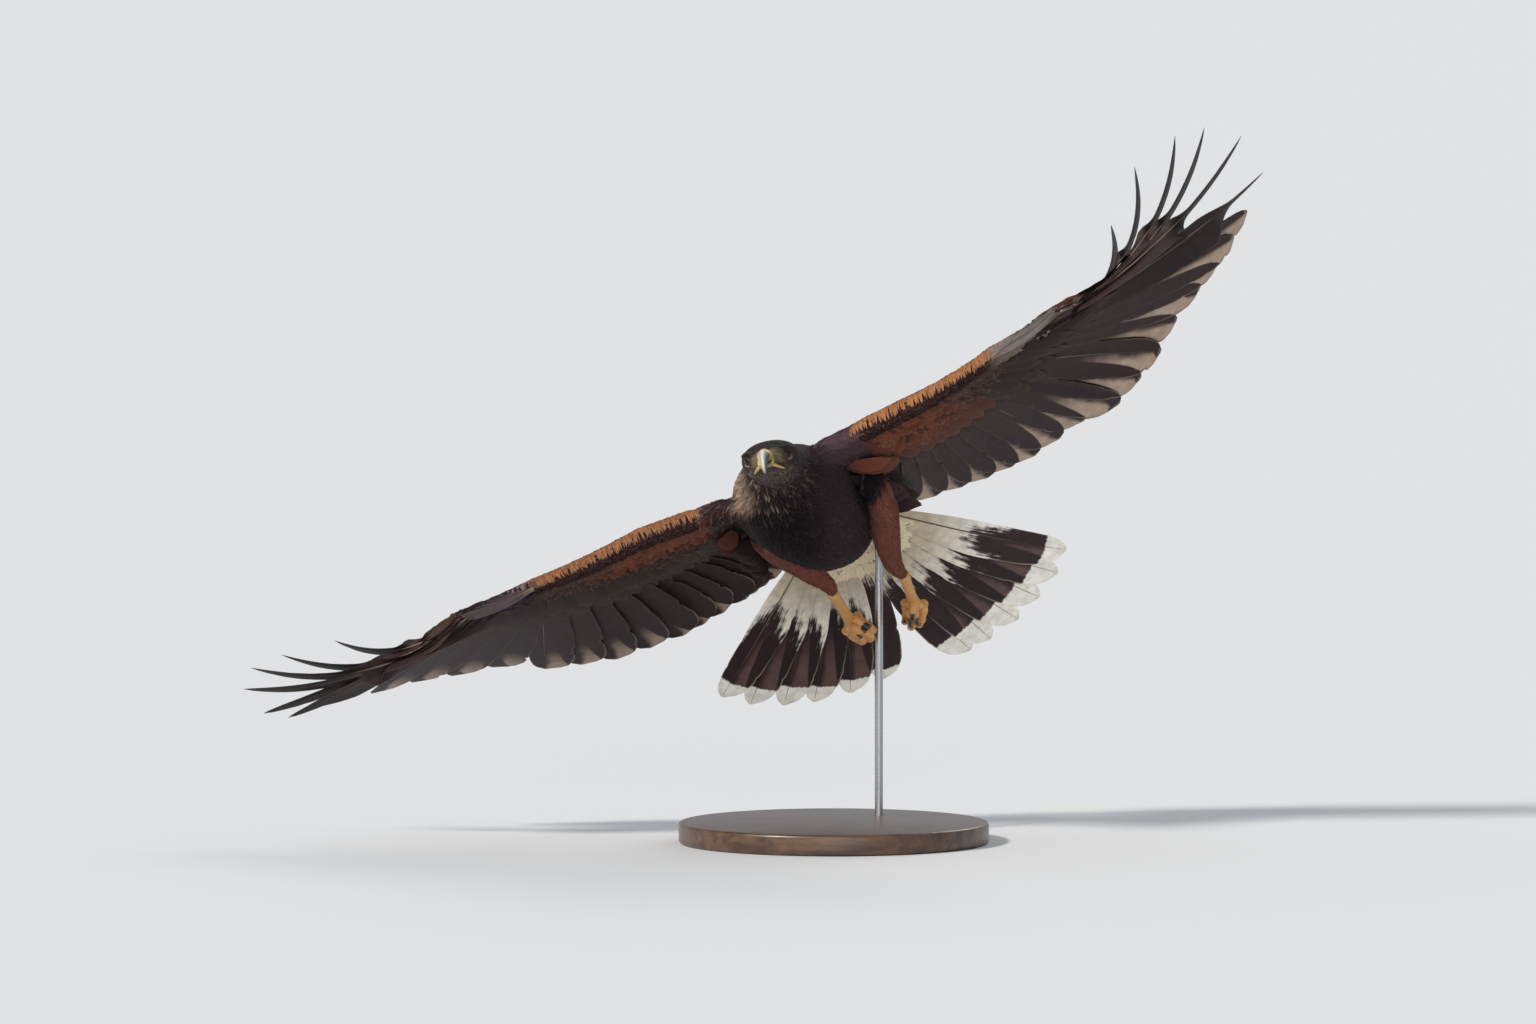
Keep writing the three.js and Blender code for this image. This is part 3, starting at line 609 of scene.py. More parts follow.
def build_skin():
    """One closed skin through all the flesh, a coat's depth inside it."""
    parts = [add_loft("skin_body", body_rings())]
    for wing in WINGS:
        parts.append(add_loft("skin_wing", wing_flesh(wing)))
    for leg in LEGS:
        shares = np.linspace(0, 1, 20)
        radii = column(THIGH_RADII, shares) * leg["thick"] - THIGH_COAT
        parts.append(add_loft("skin_thigh", tube_rings(thigh_line(leg, shares), radii, 20)))
    for side in (1, -1):
        parts.append(add_loft("skin_brow", ridge_rings(side, *BROW)))
        parts.append(add_loft("skin_cheek", ridge_rings(side, *CHEEK)))
    skin = fuse(parts, "skin", SKIN_VOXEL, 6)
    skin.data.name = "skin"
    bpy.ops.object.mode_set(mode="EDIT")
    bpy.ops.mesh.select_all(action="SELECT")
    bpy.ops.uv.smart_project(angle_limit=math.radians(66), island_margin=0.002)
    bpy.ops.object.mode_set(mode="OBJECT")
    skin.data.uv_layers[0].name = "OFBake"
    return skin


class Surface:
    """The skin as arrays in bird millimetres, with nearest-point lookups."""

    def __init__(self, skin):
        mesh = skin.data
        count = len(mesh.vertices)
        points = np.empty(count * 3)
        mesh.vertices.foreach_get("co", points)
        self.points = to_bird(points.reshape(-1, 3))
        normals = np.empty(count * 3)
        mesh.vertices.foreach_get("normal", normals)
        self.normals = normals.reshape(-1, 3) @ WORLD_TURN
        mesh.calc_loop_triangles()
        total = len(mesh.loop_triangles)
        corners = np.empty(total * 3, np.int32)
        mesh.loop_triangles.foreach_get("vertices", corners)
        self.corners = corners.reshape(-1, 3)
        loops = np.empty(total * 3, np.int32)
        mesh.loop_triangles.foreach_get("loops", loops)
        uv = np.empty(len(mesh.loops) * 2)
        mesh.uv_layers["OFBake"].data.foreach_get("uv", uv)
        self.uv = uv.reshape(-1, 2)[loops.reshape(-1, 3)]
        self.tree = BVHTree.FromPolygons(self.points.tolist(), self.corners.tolist())
        a, b, c = (self.points[self.corners[:, k]] for k in range(3))
        self.areas = np.linalg.norm(np.cross(b - a, c - a), axis=1) / 2

    def nearest(self, places):
        """Nearest points, smooth normals and UV places."""
        found = [self.tree.find_nearest(Vector(place)) for place in places]
        index = np.array([hit[2] for hit in found])
        points = np.array([hit[0] for hit in found])
        corners = self.corners[index]
        a, b, c = (self.points[corners[:, k]] for k in range(3))
        whole = np.maximum(np.linalg.norm(np.cross(b - a, c - a), axis=1), 1e-9)
        wa = np.linalg.norm(np.cross(b - points, c - points), axis=1) / whole
        wb = np.linalg.norm(np.cross(c - points, a - points), axis=1) / whole
        weights = np.stack([wa, wb, np.maximum(1 - wa - wb, 0)], 1)
        weights /= weights.sum(1, keepdims=True)
        normals = unit((self.normals[corners] * weights[..., None]).sum(1))
        return points, normals, (self.uv[index] * weights[..., None]).sum(1)

    def scatter(self, rng, odds, count):
        """Random points, with the odds of each triangle."""
        index = rng.choice(len(odds), count, p=odds / odds.sum())
        u, v = rng.random(count), rng.random(count)
        flip = u + v > 1
        u, v = np.where(flip, 1 - u, u), np.where(flip, 1 - v, v)
        a, b, c = (self.points[self.corners[index, k]] for k in range(3))
        return a + (b - a) * u[:, None] + (c - a) * v[:, None]


def thin_out(places, gaps, cell):
    """Keeps places that lie at least their own gap from all kept before."""
    kept = []
    grid = {}
    cells = np.floor(places / cell).astype(int).tolist()
    points = places.tolist()
    gaps = (gaps ** 2).tolist()
    around = [(i, j, k) for i in (-1, 0, 1) for j in (-1, 0, 1) for k in (-1, 0, 1)]
    for n, (x, y, z) in enumerate(points):
        i, j, k = cells[n]
        gap = gaps[n]
        free = True
        for di, dj, dk in around:
            for a, b, c in grid.get((i + di, j + dj, k + dk), ()):
                if (a - x) ** 2 + (b - y) ** 2 + (c - z) ** 2 < gap:
                    free = False
                    break
            if not free:
                break
        if free:
            grid.setdefault((i, j, k), []).append((x, y, z))
            kept.append(n)
    return np.array(kept)


# Edges of feathers stay sharp past this angle, in degrees.
VANE_EDGE = 50


class Pile:
    """Points and faces of many feathers, gathered for one mesh."""

    def __init__(self):
        self.count = 0
        self.points = []
        self.vane = []
        self.values = {}
        self.groups = {}

    def add(self, points, vane, values, groups):
        """Groups are pairs of corner numbers and their places on the bake map."""
        self.points.append(points)
        self.vane.append(vane)
        for name, numbers in values.items():
            self.values.setdefault(name, []).append(numbers)
        for corners, bake in groups:
            size = corners.shape[1]
            self.groups.setdefault(size, []).append((corners + self.count, bake))
        self.count += len(points)

    def build(self, name):
        faces, bake = [], []
        for size in sorted(self.groups):
            for corners, places in self.groups[size]:
                faces.append(corners)
                bake.append(places.reshape(-1, 2))
        values = {key: np.concatenate(numbers) for key, numbers in self.values.items()}
        maps = {"OFBake": np.concatenate(bake), "Vane": np.concatenate(self.vane)}
        return add_mesh(name, np.concatenate(self.points), faces, maps, values, VANE_EDGE)


# Long feathers. Every long feather has its own cell on the bake map.
VANE_COLUMNS = 13
VANE_ROWS = 54
BARB_SLANT = 0.85
RACHIS_ROWS = 26
RACHIS_SIDES = 6
# Millimetres for one unit along the vane's map, and the lengths over which the colours of a wing
# feather and of a tail feather run.
VANE_UNIT = 250
REMEX_LENGTH = 200
RECTRIX_LENGTH = 222
# Distance from the next feather's edge where no feather is in front, in millimetres.
UNCOVERED = 30.0
LONG_SPREAD = ((0, 0.16), (0.06, 0.3), (0.16, 0.62), (0.35, 0.9), (0.55, 1), (0.8, 1), (0.88, 0.93),
               (0.94, 0.76), (0.975, 0.52), (1, 0.1))


def cell_of(number, across, down):
    """Corner and size of a cell on the bake map."""
    width, height = 1 / across, 1 / down
    return (number % across) * width, (number // across) * height, width, height


def grid_corners(table):
    """Entries of a grid at the four corners of each of its cells."""
    return np.stack([table[:-1, :-1], table[:-1, 1:], table[1:, 1:], table[1:, :-1]], 2)


def flatten(vectors, normals):
    """Unit vectors without their part along the normals."""
    return unit(vectors - normals * (vectors * normals).sum(1, keepdims=True))


def worn_edge(rng, half, ragged):
    """Half-widths of a vane with a slight wobble and a few small splits."""
    u = np.linspace(0, 1, VANE_ROWS)
    wobble = np.interp(u, np.linspace(0, 1, 12), rng.normal(0, 0.012, 12))
    edge = half * (1 + ragged * (wobble + rng.normal(0, 0.004, VANE_ROWS)))
    for _ in range(rng.integers(1, 4)):
        row = rng.integers(int(VANE_ROWS * 0.3), VANE_ROWS - 6)
        depth = ragged * rng.uniform(0.03, 0.12)
        edge[row:row + 3] *= 1 - depth * np.array([0.35, 1.0, 0.15])
    return edge[:, None]


def vane_groups(ids, low_ids, across, rows, cell, flip):
    """Faces over both sides and both ends of a vane, with their places on the bake map."""
    x0, y0, w, h = cell
    groups = []
    for table, start, turned in ((ids, 0.02, flip), (low_ids, 0.48, not flip)):
        places = np.stack([x0 + w * (start + 0.44 * across), y0 + h * (0.02 + 0.96 * rows)], -1)
        corners = grid_corners(table).reshape(-1, 4)
        where = grid_corners(places).reshape(-1, 4, 2)
        if turned:
            corners, where = corners[:, ::-1], where[:, ::-1]
        groups.append((corners, where))
    for row, turned in ((0, not flip), (VANE_ROWS - 1, flip)):
        loop = np.concatenate([ids[row], low_ids[row, 1:-1][::-1]])[None]
        place = np.stack([
            x0 + w * (0.94 + 0.02 * np.cos(np.arange(loop.shape[1]))),
            y0 + h * (0.05 + 0.9 * (row > 0) + 0.02 * np.sin(np.arange(loop.shape[1]))),
        ], -1)[None]
        groups.append((loop[:, ::-1] if turned else loop, place))
    return groups


def long_feather(pile, rng, line, sides, widths, cell, colours, rachis, tilt, ragged, camber=0.0024,
                 over=None):
    """A closed thin vane with its rachis. Widths are the outer and inner half-widths along the shaft."""
    u = np.linspace(0, 1, VANE_ROWS)
    t = 1 - (1 - u) ** 1.3
    s = np.linspace(-1, 1, VANE_COLUMNS)
    s = np.sign(s) * np.abs(s) ** 0.9
    outer, inner = (worn_edge(rng, column(LONG_SPREAD, t) * column(rows, t), ragged) for rows in widths)
    centre = line(t)
    length = np.linalg.norm(np.diff(centre, axis=0), axis=1).sum()
    tangent = unit(np.gradient(centre, t, axis=0))
    side = flatten(sides(t), tangent)
    up = np.cross(tangent, side)
    if up[len(up) // 2, 2] < 0:
        up = -up
    lean = np.interp(t, (0, 0.1, 0.75, 1), (1, 1, 1, 0.6)) * tilt
    side, up = side + up * lean[:, None], up - side * lean[:, None]
    offset = s[None] * np.where(s[None] > 0, outer, inner)
    slid = t[:, None] + BARB_SLANT * np.abs(offset) / length * (1 - t[:, None]) ** 0.8
    middle = line(slid.ravel()).reshape(VANE_ROWS, VANE_COLUMNS, 3)
    drop = -camber * offset ** 2
    sheet = middle + side[:, None] * offset[..., None] + up[:, None] * drop[..., None]
    thick = (0.12 + 0.3 * (1 - s[None] ** 2)) * (1 - 0.5 * t[:, None])
    rim = np.zeros((VANE_ROWS, VANE_COLUMNS), bool)
    rim[:, [0, -1]] = True
    top = sheet + up[:, None] * np.where(rim, 0, thick)[..., None]
    low = sheet - up[:, None] * np.where(rim, 0, thick)[..., None]
    ids = np.arange(VANE_ROWS * VANE_COLUMNS).reshape(VANE_ROWS, VANE_COLUMNS)
    low_ids = np.empty_like(ids)
    low_ids[:, 1:-1] = VANE_ROWS * VANE_COLUMNS + np.arange(VANE_ROWS * (VANE_COLUMNS - 2)).reshape(
        VANE_ROWS, VANE_COLUMNS - 2)
    low_ids[:, 0], low_ids[:, -1] = ids[:, 0], ids[:, -1]
    points = np.concatenate([top.reshape(-1, 3), low[:, 1:-1].reshape(-1, 3)])
    across = (s[None] * 0.5 + 0.5) + 0 * t[:, None]
    along = 0 * s[None] + t[:, None] * length / VANE_UNIT
    flat = np.stack([across, along], -1)
    vane = np.concatenate([flat.reshape(-1, 2), flat[:, 1:-1].reshape(-1, 2)])
    flip = (np.cross(side[9], tangent[9]) @ up[9]) < 0
    under = np.concatenate([np.where(rim, 0.5, 0).ravel(), np.ones(VANE_ROWS * (VANE_COLUMNS - 2))])
    apart = over(points) if over else np.full(len(points), UNCOVERED)
    shade = colours(vane, under)
    share = np.concatenate([np.repeat(t, VANE_COLUMNS), np.repeat(t, VANE_COLUMNS - 2)])
    values = {"under": under, "over": apart, "quill": np.zeros(len(points)), "plume": shade, "share": share}
    pile.add(points, vane, values, vane_groups(ids, low_ids, across, u[:, None] + 0 * across, cell, flip))
    add_rachis(pile, t, centre, up, rachis, cell, shade[:1])


def add_rachis(pile, t, centre, up, thick, cell, colour):
    """Shaft of a long feather, from a stout quill to a hair at the tip."""
    x0, y0, w, h = cell
    q = np.linspace(0, 0.985, RACHIS_ROWS)
    spine = np.stack([np.interp(q, t, centre[:, k]) for k in range(3)], -1)
    lift = np.stack([np.interp(q, t, up[:, k]) for k in range(3)], -1)
    radii = thick * (1 - q) ** 0.8 + 0.16
    rings = tube_rings(spine - lift * 0.12, radii, RACHIS_SIDES, hint=up[20], flat=0.9)
    spots = []
    for group in loft_faces(RACHIS_ROWS, RACHIS_SIDES):
        turn = (group % RACHIS_SIDES) / RACHIS_SIDES
        rise = 0.03 + 0.94 * (group // RACHIS_SIDES) / RACHIS_ROWS
        spot = np.stack([x0 + w * (0.965 + 0.02 * turn), y0 + h * rise], -1)
        if group.shape[1] == RACHIS_SIDES:
            spot = spot + np.stack([0 * turn, 0.004 * np.sin(turn * 6.28)], -1)
        spots.append((group, spot))
    first = rings.reshape(-1, 3)
    facing = np.cross(rings[0, 1] - rings[0, 0], rings[0, 2] - rings[0, 0])
    if facing @ (spine[1] - spine[0]) > 0:
        spots = [(corners[:, ::-1], spot[:, ::-1]) for corners, spot in spots]
    many = len(first)
    values = {"under": np.full(many, 0.5), "over": np.full(many, UNCOVERED), "quill": np.ones(many),
              "plume": colour.repeat(many, 0), "share": np.repeat(q, RACHIS_SIDES)}
    pile.add(first, np.tile([0.5, 0.5], (many, 1)), values, spots)


def cover_of(line, sides, widths):
    """Distance of places from the outer edge of a feather, below zero where the feather covers them."""
    t = np.linspace(0, 1, 90)
    centre = line(t)
    tangent = unit(np.gradient(centre, axis=0))
    side = flatten(sides(t), tangent)
    outer = column(LONG_SPREAD, t) * column(widths[0], t)

    def over(points):
        apart = ((points[:, None] - centre[None]) ** 2).sum(-1)
        k = apart.argmin(1)
        away = points - centre[k]
        beside = (away * side[k]).sum(1) - outer[k]
        beyond = (away * tangent[k]).sum(1) - 0.5
        return np.where(k == len(t) - 1, np.maximum(beside, beyond), beside)

    return over


def wing_side(wing, rank):
    """Direction across a wing feather towards the wing tip, turned by the twist of the fingers."""
    notch = 2.0
    if rank >= FIRST_FINGER:
        notch = wing["notches"][int(rank) - FIRST_FINGER]
    twist = math.radians(wing["twist"])
    chord = -np.array([0, math.cos(twist), math.sin(twist)])

    def sides(t):
        low, high = max(rank - 0.4, -1.9), min(rank + 0.4, 22)
        ends = [shaft_point(wing, np.full(len(t), place), t) for place in (low, high)]
        surface = unit(ends[1] - ends[0])
        share = smooth(notch - 0.12, notch + 0.06, t)[:, None]
        return unit(surface * (1 - share) + chord * share)

    return sides


def wing_widths(wing, rank):
    """Outer and inner half-widths of a wing feather along its shaft."""
    if rank < 2:
        scale = 0.72 + 0.14 * rank
        return ((0, 17 * scale), (1, 17 * scale)), ((0, 27 * scale), (1, 27 * scale))
    if rank < FIRST_FINGER:
        outer = np.interp(rank, (2, 8, 12, 16), (17, 19, 16, 12))
        inner = np.interp(rank, (2, 8, 12, 16), (28, 31, 30, 26))
        return ((0, outer), (1, outer * 0.96)), ((0, inner), (1, inner * 0.96))
    notch = wing["notches"][rank - FIRST_FINGER]
    before = np.interp(rank, (17, 22), (24, 17))
    outer = ((0, 9), (notch - 0.1, 9), (notch + 0.04, 6.6), (0.9, 5.6), (1, 4))
    inner = ((0, before), (notch - 0.1, before), (notch + 0.03, 10.5), (0.85, 9), (1, 6))
    return outer, inner


def wing_line(wing, rank):
    # The outermost primary of the left wing lies in front of the others near its root.
    shift = np.array([0, -20.0, -7.0]) * (wing["side"] > 0) * (rank == LAST_FINGER)

    def line(t):
        points = shaft_point(wing, np.full(len(t), float(rank)), np.clip(t, 0, 1))
        return points + shift * (1 - np.clip(t, 0, 1))[:, None]

    return line


def remex_shade(rng, rank, dim):
    """Ground colour of a wing feather: blackish above, grey-brown below, paler towards the root."""
    above = linear(48, 38, 36) * rng.uniform(0.85, 1.15)
    # On the right wing dim makes the underside darker, a painted shade.
    below = linear(49, 33, 35) * rng.uniform(0.82, 1.18) * dim
    dark_tip = linear(40, 29, 29)
    finger = smooth(14, 18, rank)

    def colours(vane, under):
        along = vane[:, 1:2] * VANE_UNIT / REMEX_LENGTH
        base = above * (1 - under[:, None]) + below * under[:, None]
        tip = smooth(0.3, 0.75, along) * (0.15 + 0.8 * finger)
        return base * (1 - tip) + dark_tip * tip

    return colours


def build_remiges(wing):
    rng = np.random.default_rng(31 + wing["side"])
    pile = Pile()
    shape = None
    for rank in range(LAST_FINGER + 1):
        near = shape
        shape = (wing_line(wing, rank), wing_side(wing, rank), wing_widths(wing, rank))
        over = cover_of(*near) if 0 < rank < FIRST_FINGER else None
        long_feather(pile, rng, *shape, cell_of(rank, 12, 2), remex_shade(rng, rank, wing["shade"]),
                     rachis=1.35 if rank > 12 else 1.15, tilt=0.075,
                     ragged=1.2 if rank < FIRST_FINGER else 0.7, over=over)
    return pile.build("flight_feathers_" + wing["name"])


def rectrix_line(angle, length, order, bow):
    def line(t):
        reach = RECTRIX_ROOT + (length - RECTRIX_ROOT) * np.clip(t, 0, 1)
        return tail_point(angle + bow * (t - 0.5) ** 2, reach, -order * RECTRIX_STEP - 1.0 * (1 - t))

    return line


def rectrix_side(angle, outwards):
    a = math.radians(angle)
    across = (tail_left * math.cos(a) - tail_back * math.sin(a)) * outwards
    return lambda t: np.tile(across, (len(t), 1))


# Outer and inner half-widths of a tail feather along its shaft.
RECTRIX_WIDTHS = (((0, 13), (0.5, 15), (1, 14)), ((0, 19), (0.5, 25), (1, 23)))


def rectrix_shade(rng, outermost):
    """Three channels: whiteness of root and tip, the feather's own tone, and whiteness of the tip alone."""
    tone = rng.uniform(0.8, 1.2)
    root_end = rng.uniform(0.30, 0.42) + 0.14 * outermost
    tip_start = rng.uniform(0.89, 0.91)

    def colours(vane, under):
        along = vane[:, 1] * VANE_UNIT / RECTRIX_LENGTH
        across = np.abs(vane[:, 0] - 0.42) * 2
        root = 1 - smooth(root_end - 0.26, root_end + 0.2, along - 0.16 * across)
        tip = smooth(tip_start - 0.02, tip_start + 0.02, along + 0.02 * across)
        return np.stack([np.maximum(root, tip), np.full(len(along), tone), tip], 1)

    return colours


def build_rectrices():
    rng = np.random.default_rng(77)
    pile = Pile()
    number = 0
    for outwards, rows in ((1, LEFT_RECTRICES), (-1, RIGHT_RECTRICES)):
        for k, (angle, length) in enumerate(rows):
            order = k + (0.5 if outwards > 0 else 0)
            bow = rng.uniform(-3, 3) + outwards * 3
            line = rectrix_line(angle, length, order, bow)
            over = None
            if k > 0:
                near_angle, near_length = rows[k - 1]
                near = rectrix_line(near_angle, near_length, order - 1, bow)
                over = cover_of(near, rectrix_side(near_angle, outwards), RECTRIX_WIDTHS)
            long_feather(pile, rng, line, rectrix_side(angle, outwards), RECTRIX_WIDTHS,
                         cell_of(number, 6, 2), rectrix_shade(rng, k / 5), rachis=1.2, tilt=0.05,
                         ragged=0.5, camber=0.0016, over=over)
            number += 1
    return pile.build("tail_feathers")


def build_alula(wing):
    """Four stiff feathers of the thumb, the longest lying along the hand and curved up at its tip."""
    rng = np.random.default_rng(5 + wing["side"])
    pile = Pile()
    root_shift, tip_shift, colour = wing["thumb"]
    start = lead_at(wing, WRIST_RANK + 0.6) + root_shift
    end = lead_at(wing, HAND_END_RANK - 1.0) + tip_shift
    ground = linear(*colour)
    for k, (reach, shift) in enumerate(((1.0, 0), (0.8, 2.6), (0.6, 4.6), (0.42, 6.0))):
        first = start + np.array([wing["side"] * -5.0, -shift * 0.3, 0.6 * k])
        last = start + (end - start) * reach + np.array([0, -shift, 0.9 * k])
        bend = (first + last) / 2 + np.array([wing["side"] * 5, -4, -5.0])

        def line(t, first=first, bend=bend, last=last):
            return bezier(first, bend, last, np.clip(t, 0, 1))

        def sides(t):
            return np.tile([0, -0.9, 0.35], (len(t), 1))

        widths = ((0, 5), (1, 5)), ((0, 8), (1, 8))
        shade = ground * rng.uniform(0.85, 1.15)

        def colours(vane, under, shade=shade):
            return np.tile(shade, (len(vane), 1))

        long_feather(pile, rng, line, sides, widths, cell_of(k, 4, 1), colours, rachis=0.8, tilt=0.03,
                     ragged=0.5, camber=0.006)
    return pile.build("thumb_feathers_" + wing["name"])


# Small feathers: width along the feather, rounded or pointed, and size of a feather on the bake map.
SHORT_SPREAD = ((0, 0.36), (0.25, 0.78), (0.5, 1), (0.72, 0.97), (0.88, 0.72), (0.96, 0.45), (1, 0.2))
LANCE_SPREAD = ((0, 0.4), (0.25, 0.86), (0.45, 1), (0.65, 0.86), (0.82, 0.55), (0.93, 0.28), (1, 0.05))
BAKE_PATCH = 0.003


def short_feathers(pile, rng, centre, normal, width, bake, shade, fringe, fray, columns=5, camber=0.22,
                   shape=SHORT_SPREAD):
    """Many closed vanes at once. Centre lines run from root to tip; widths are full widths."""
    count, rows = centre.shape[:2]
    shares = np.linspace(0, 1, rows) ** 0.85
    tangent = unit(np.gradient(centre, axis=1))
    side = unit(np.cross(tangent, normal))
    up = np.cross(side, tangent)
    s = np.linspace(-1, 1, columns)
    spread = column(shape, shares)
    half = width[:, None, None] / 2 * spread[None, :, None] * np.ones(columns)[None, None]
    offset = half * s * (1 + rng.normal(0, 0.035, (count, rows, columns)) * (np.abs(s) > 0.9))
    length = np.linalg.norm(np.diff(centre, axis=1), axis=2).sum(1)
    split = rng.normal(0, fray, (count, 1, columns)) * smooth(0.6, 1, shares)[None, :, None]
    split = split - 0.05 * np.abs(s)[None, None] * smooth(0.5, 1, shares)[None, :, None]
    slide = split * length[:, None, None]
    drop = -camber * offset ** 2 / np.maximum(width[:, None, None] / 2, 0.1)
    sheet = centre[:, :, None] + side[:, :, None] * offset[..., None] + up[:, :, None] * drop[..., None]
    sheet = sheet + tangent[:, :, None] * slide[..., None]
    per = rows * columns
    ids = np.arange(per).reshape(rows, columns)
    top = grid_corners(ids).reshape(-1, 4)
    low = np.stack([ids[:-1, 0], ids[1:, 0], ids[1:, -1], ids[:-1, -1]], -1).reshape(-1, 4)
    ends = np.stack([ids[0][::-1], ids[-1]])
    first = (np.arange(count) * per)[:, None, None]
    quads = (first + np.concatenate([top, low])[None]).reshape(-1, 4)
    caps = (first + ends[None]).reshape(-1, columns)
    across = np.tile(s * 0.5 + 0.5, (rows, 1))
    along = np.tile(shares[:, None], (1, columns))
    vane = np.tile(np.stack([across, along], -1).reshape(1, per, 2), (count, 1, 1)).reshape(-1, 2)
    patch = (np.stack([across, along], -1).reshape(1, per, 2) - 0.5) * BAKE_PATCH
    spots = np.clip(bake[:, None] + patch, 0.0005, 0.9995).reshape(-1, 2)
    pile.add(
        sheet.reshape(-1, 3), vane,
        {
            "plume": np.repeat(shade, per, 0),
            "fringe": np.repeat(fringe, per),
            "chance": np.repeat(rng.random(count), per),
        },
        [(quads, spots[quads]), (caps, spots[caps])],
    )


# Places on the body, and length of the small feathers by their distance behind the eyes.
THROAT_AT = np.array([0.0, -24.0, -2.0])
EYE_CENTRES = np.array([[EYE_SIDE, -EYE_AHEAD, 0], [-EYE_SIDE, -EYE_AHEAD, 0]], float)
LENGTH_BY_PLACE = ((-20, 2.8), (-8, 3.4), (5, 4.8), (18, 7), (32, 10.5), (50, 15), (100, 21), (160, 25))


def apart_from(points, line):
    """Distance of each place from each point of a line."""
    return np.linalg.norm(points[:, None] - line[None], axis=2)


def thigh_share(points, leg):
    """Share of the thigh's length, and distance from its surface, for each place."""
    shares = np.linspace(0, 1, 24)
    apart = apart_from(points, thigh_line(leg, shares))
    share = shares[apart.argmin(1)]
    return share, apart.min(1) - column(THIGH_RADII, share) * leg["thick"]


def eye_distance(q):
    """Distance from the centre of the nearer eye, in the head's own millimetres."""
    return np.minimum(*[np.linalg.norm(q - centre, axis=1) for centre in EYE_CENTRES])


def on_thigh(points):
    """How far each place belongs to a thigh, and the direction down that thigh."""
    most = np.zeros(len(points))
    down = np.tile([0.0, 1.0, 0.0], (len(points), 1))
    for leg in LEGS:
        share, apart = thigh_share(points, leg)
        belongs = (1 - smooth(1, 5, apart)) * smooth(-0.02, 0.1, share)
        along = unit(np.array(leg["hock"], float) - np.array(leg["knee"], float))
        more = belongs > most
        most = np.where(more, belongs, most)
        down[more] = along
    return most, down


def on_wing(points):
    """True where a place is on the flesh of a wing."""
    inside = np.zeros(len(points), bool)
    for wing in WINGS:
        ranks = np.linspace(-2, 21, 90)
        lines = (bone_at(wing, ranks), lead_at(wing, ranks))
        apart = np.minimum(*[apart_from(points, line).min(1) for line in lines])
        inside |= (points[:, 0] * wing["side"] > wing["shoulder"]) & (apart < 62)
    return inside


def lie(points):
    """Direction in which the coat lies."""
    q = to_head(points)
    spread = unit(q - THROAT_AT) * (1 - smooth(-12, 12, q[:, 1]))[:, None]
    head = unit(spread + np.array([0, 0.75, -0.12]))
    head = head @ HEAD_TURN_IN_BIRD.T
    body = unit(np.array([0.0, 1.0, 0.0]) + 0.25 * unit(TAIL_ROOT + np.array([0, 80, -30]) - points))
    share = smooth(15, 70, q[:, 1])[:, None]
    direction = unit(head * (1 - share) + body * share)
    outboard = smooth(38, 72, np.abs(points[:, 0])) * smooth(-42, -20, points[:, 2]) * 0.9
    direction = unit(direction + np.outer(outboard * np.sign(points[:, 0]), (1, 0, 0)))
    thigh, down = on_thigh(points)
    tail = smooth(135, 165, points[:, 1])[:, None]
    direction = unit(direction * (1 - tail) + tail_back * tail)
    return unit(direction * (1 - thigh[:, None]) + down * thigh[:, None])


def tuft_length(points):
    q = to_head(points)
    length = column(LENGTH_BY_PLACE, q[:, 1])
    eye = eye_distance(q)
    length = np.where(eye < 16, np.minimum(length, 2.2 + 0.24 * np.maximum(eye - 7, 0)), length)
    thigh, _ = on_thigh(points)
    return length * (1 - thigh) + 15 * thigh


def tuft_gap(length):
    return np.interp(length, (2, 6, 12, 25), (0.75, 1.25, 2.1, 4.1))


# Colours of the plumage.
BODY_DARK = linear(12, 6, 12)
LIT_FLANK = linear(42, 31, 37)
BACK_DARK = linear(56, 42, 36)
HEAD_BROWN = linear(34, 25, 28)
CROWN_SHADE = linear(18, 14, 21)
LIT_SHOULDER_TAUPE = linear(84, 64, 72)
THROAT_TAN = linear(128, 112, 98)
THIGH_RUFOUS = linear(110, 66, 55)
CREAM = linear(246, 231, 196)
LORE_OLIVE = linear(112, 97, 72)
BAND_ORANGE = linear(140, 88, 52)
MAROON_AND_SHADE = linear(32, 15, 22)
LINING_RUFOUS = linear(102, 55, 38)
LINING_BROWN = linear(60, 47, 43)
SHOULDER_RUFOUS = linear(150, 80, 44)
COVERT_DARK = linear(60, 46, 41)


def blend(a, b, share):
    share = np.asarray(share, float)[..., None]
    return np.asarray(a, float) * (1 - share) + np.asarray(b, float) * share


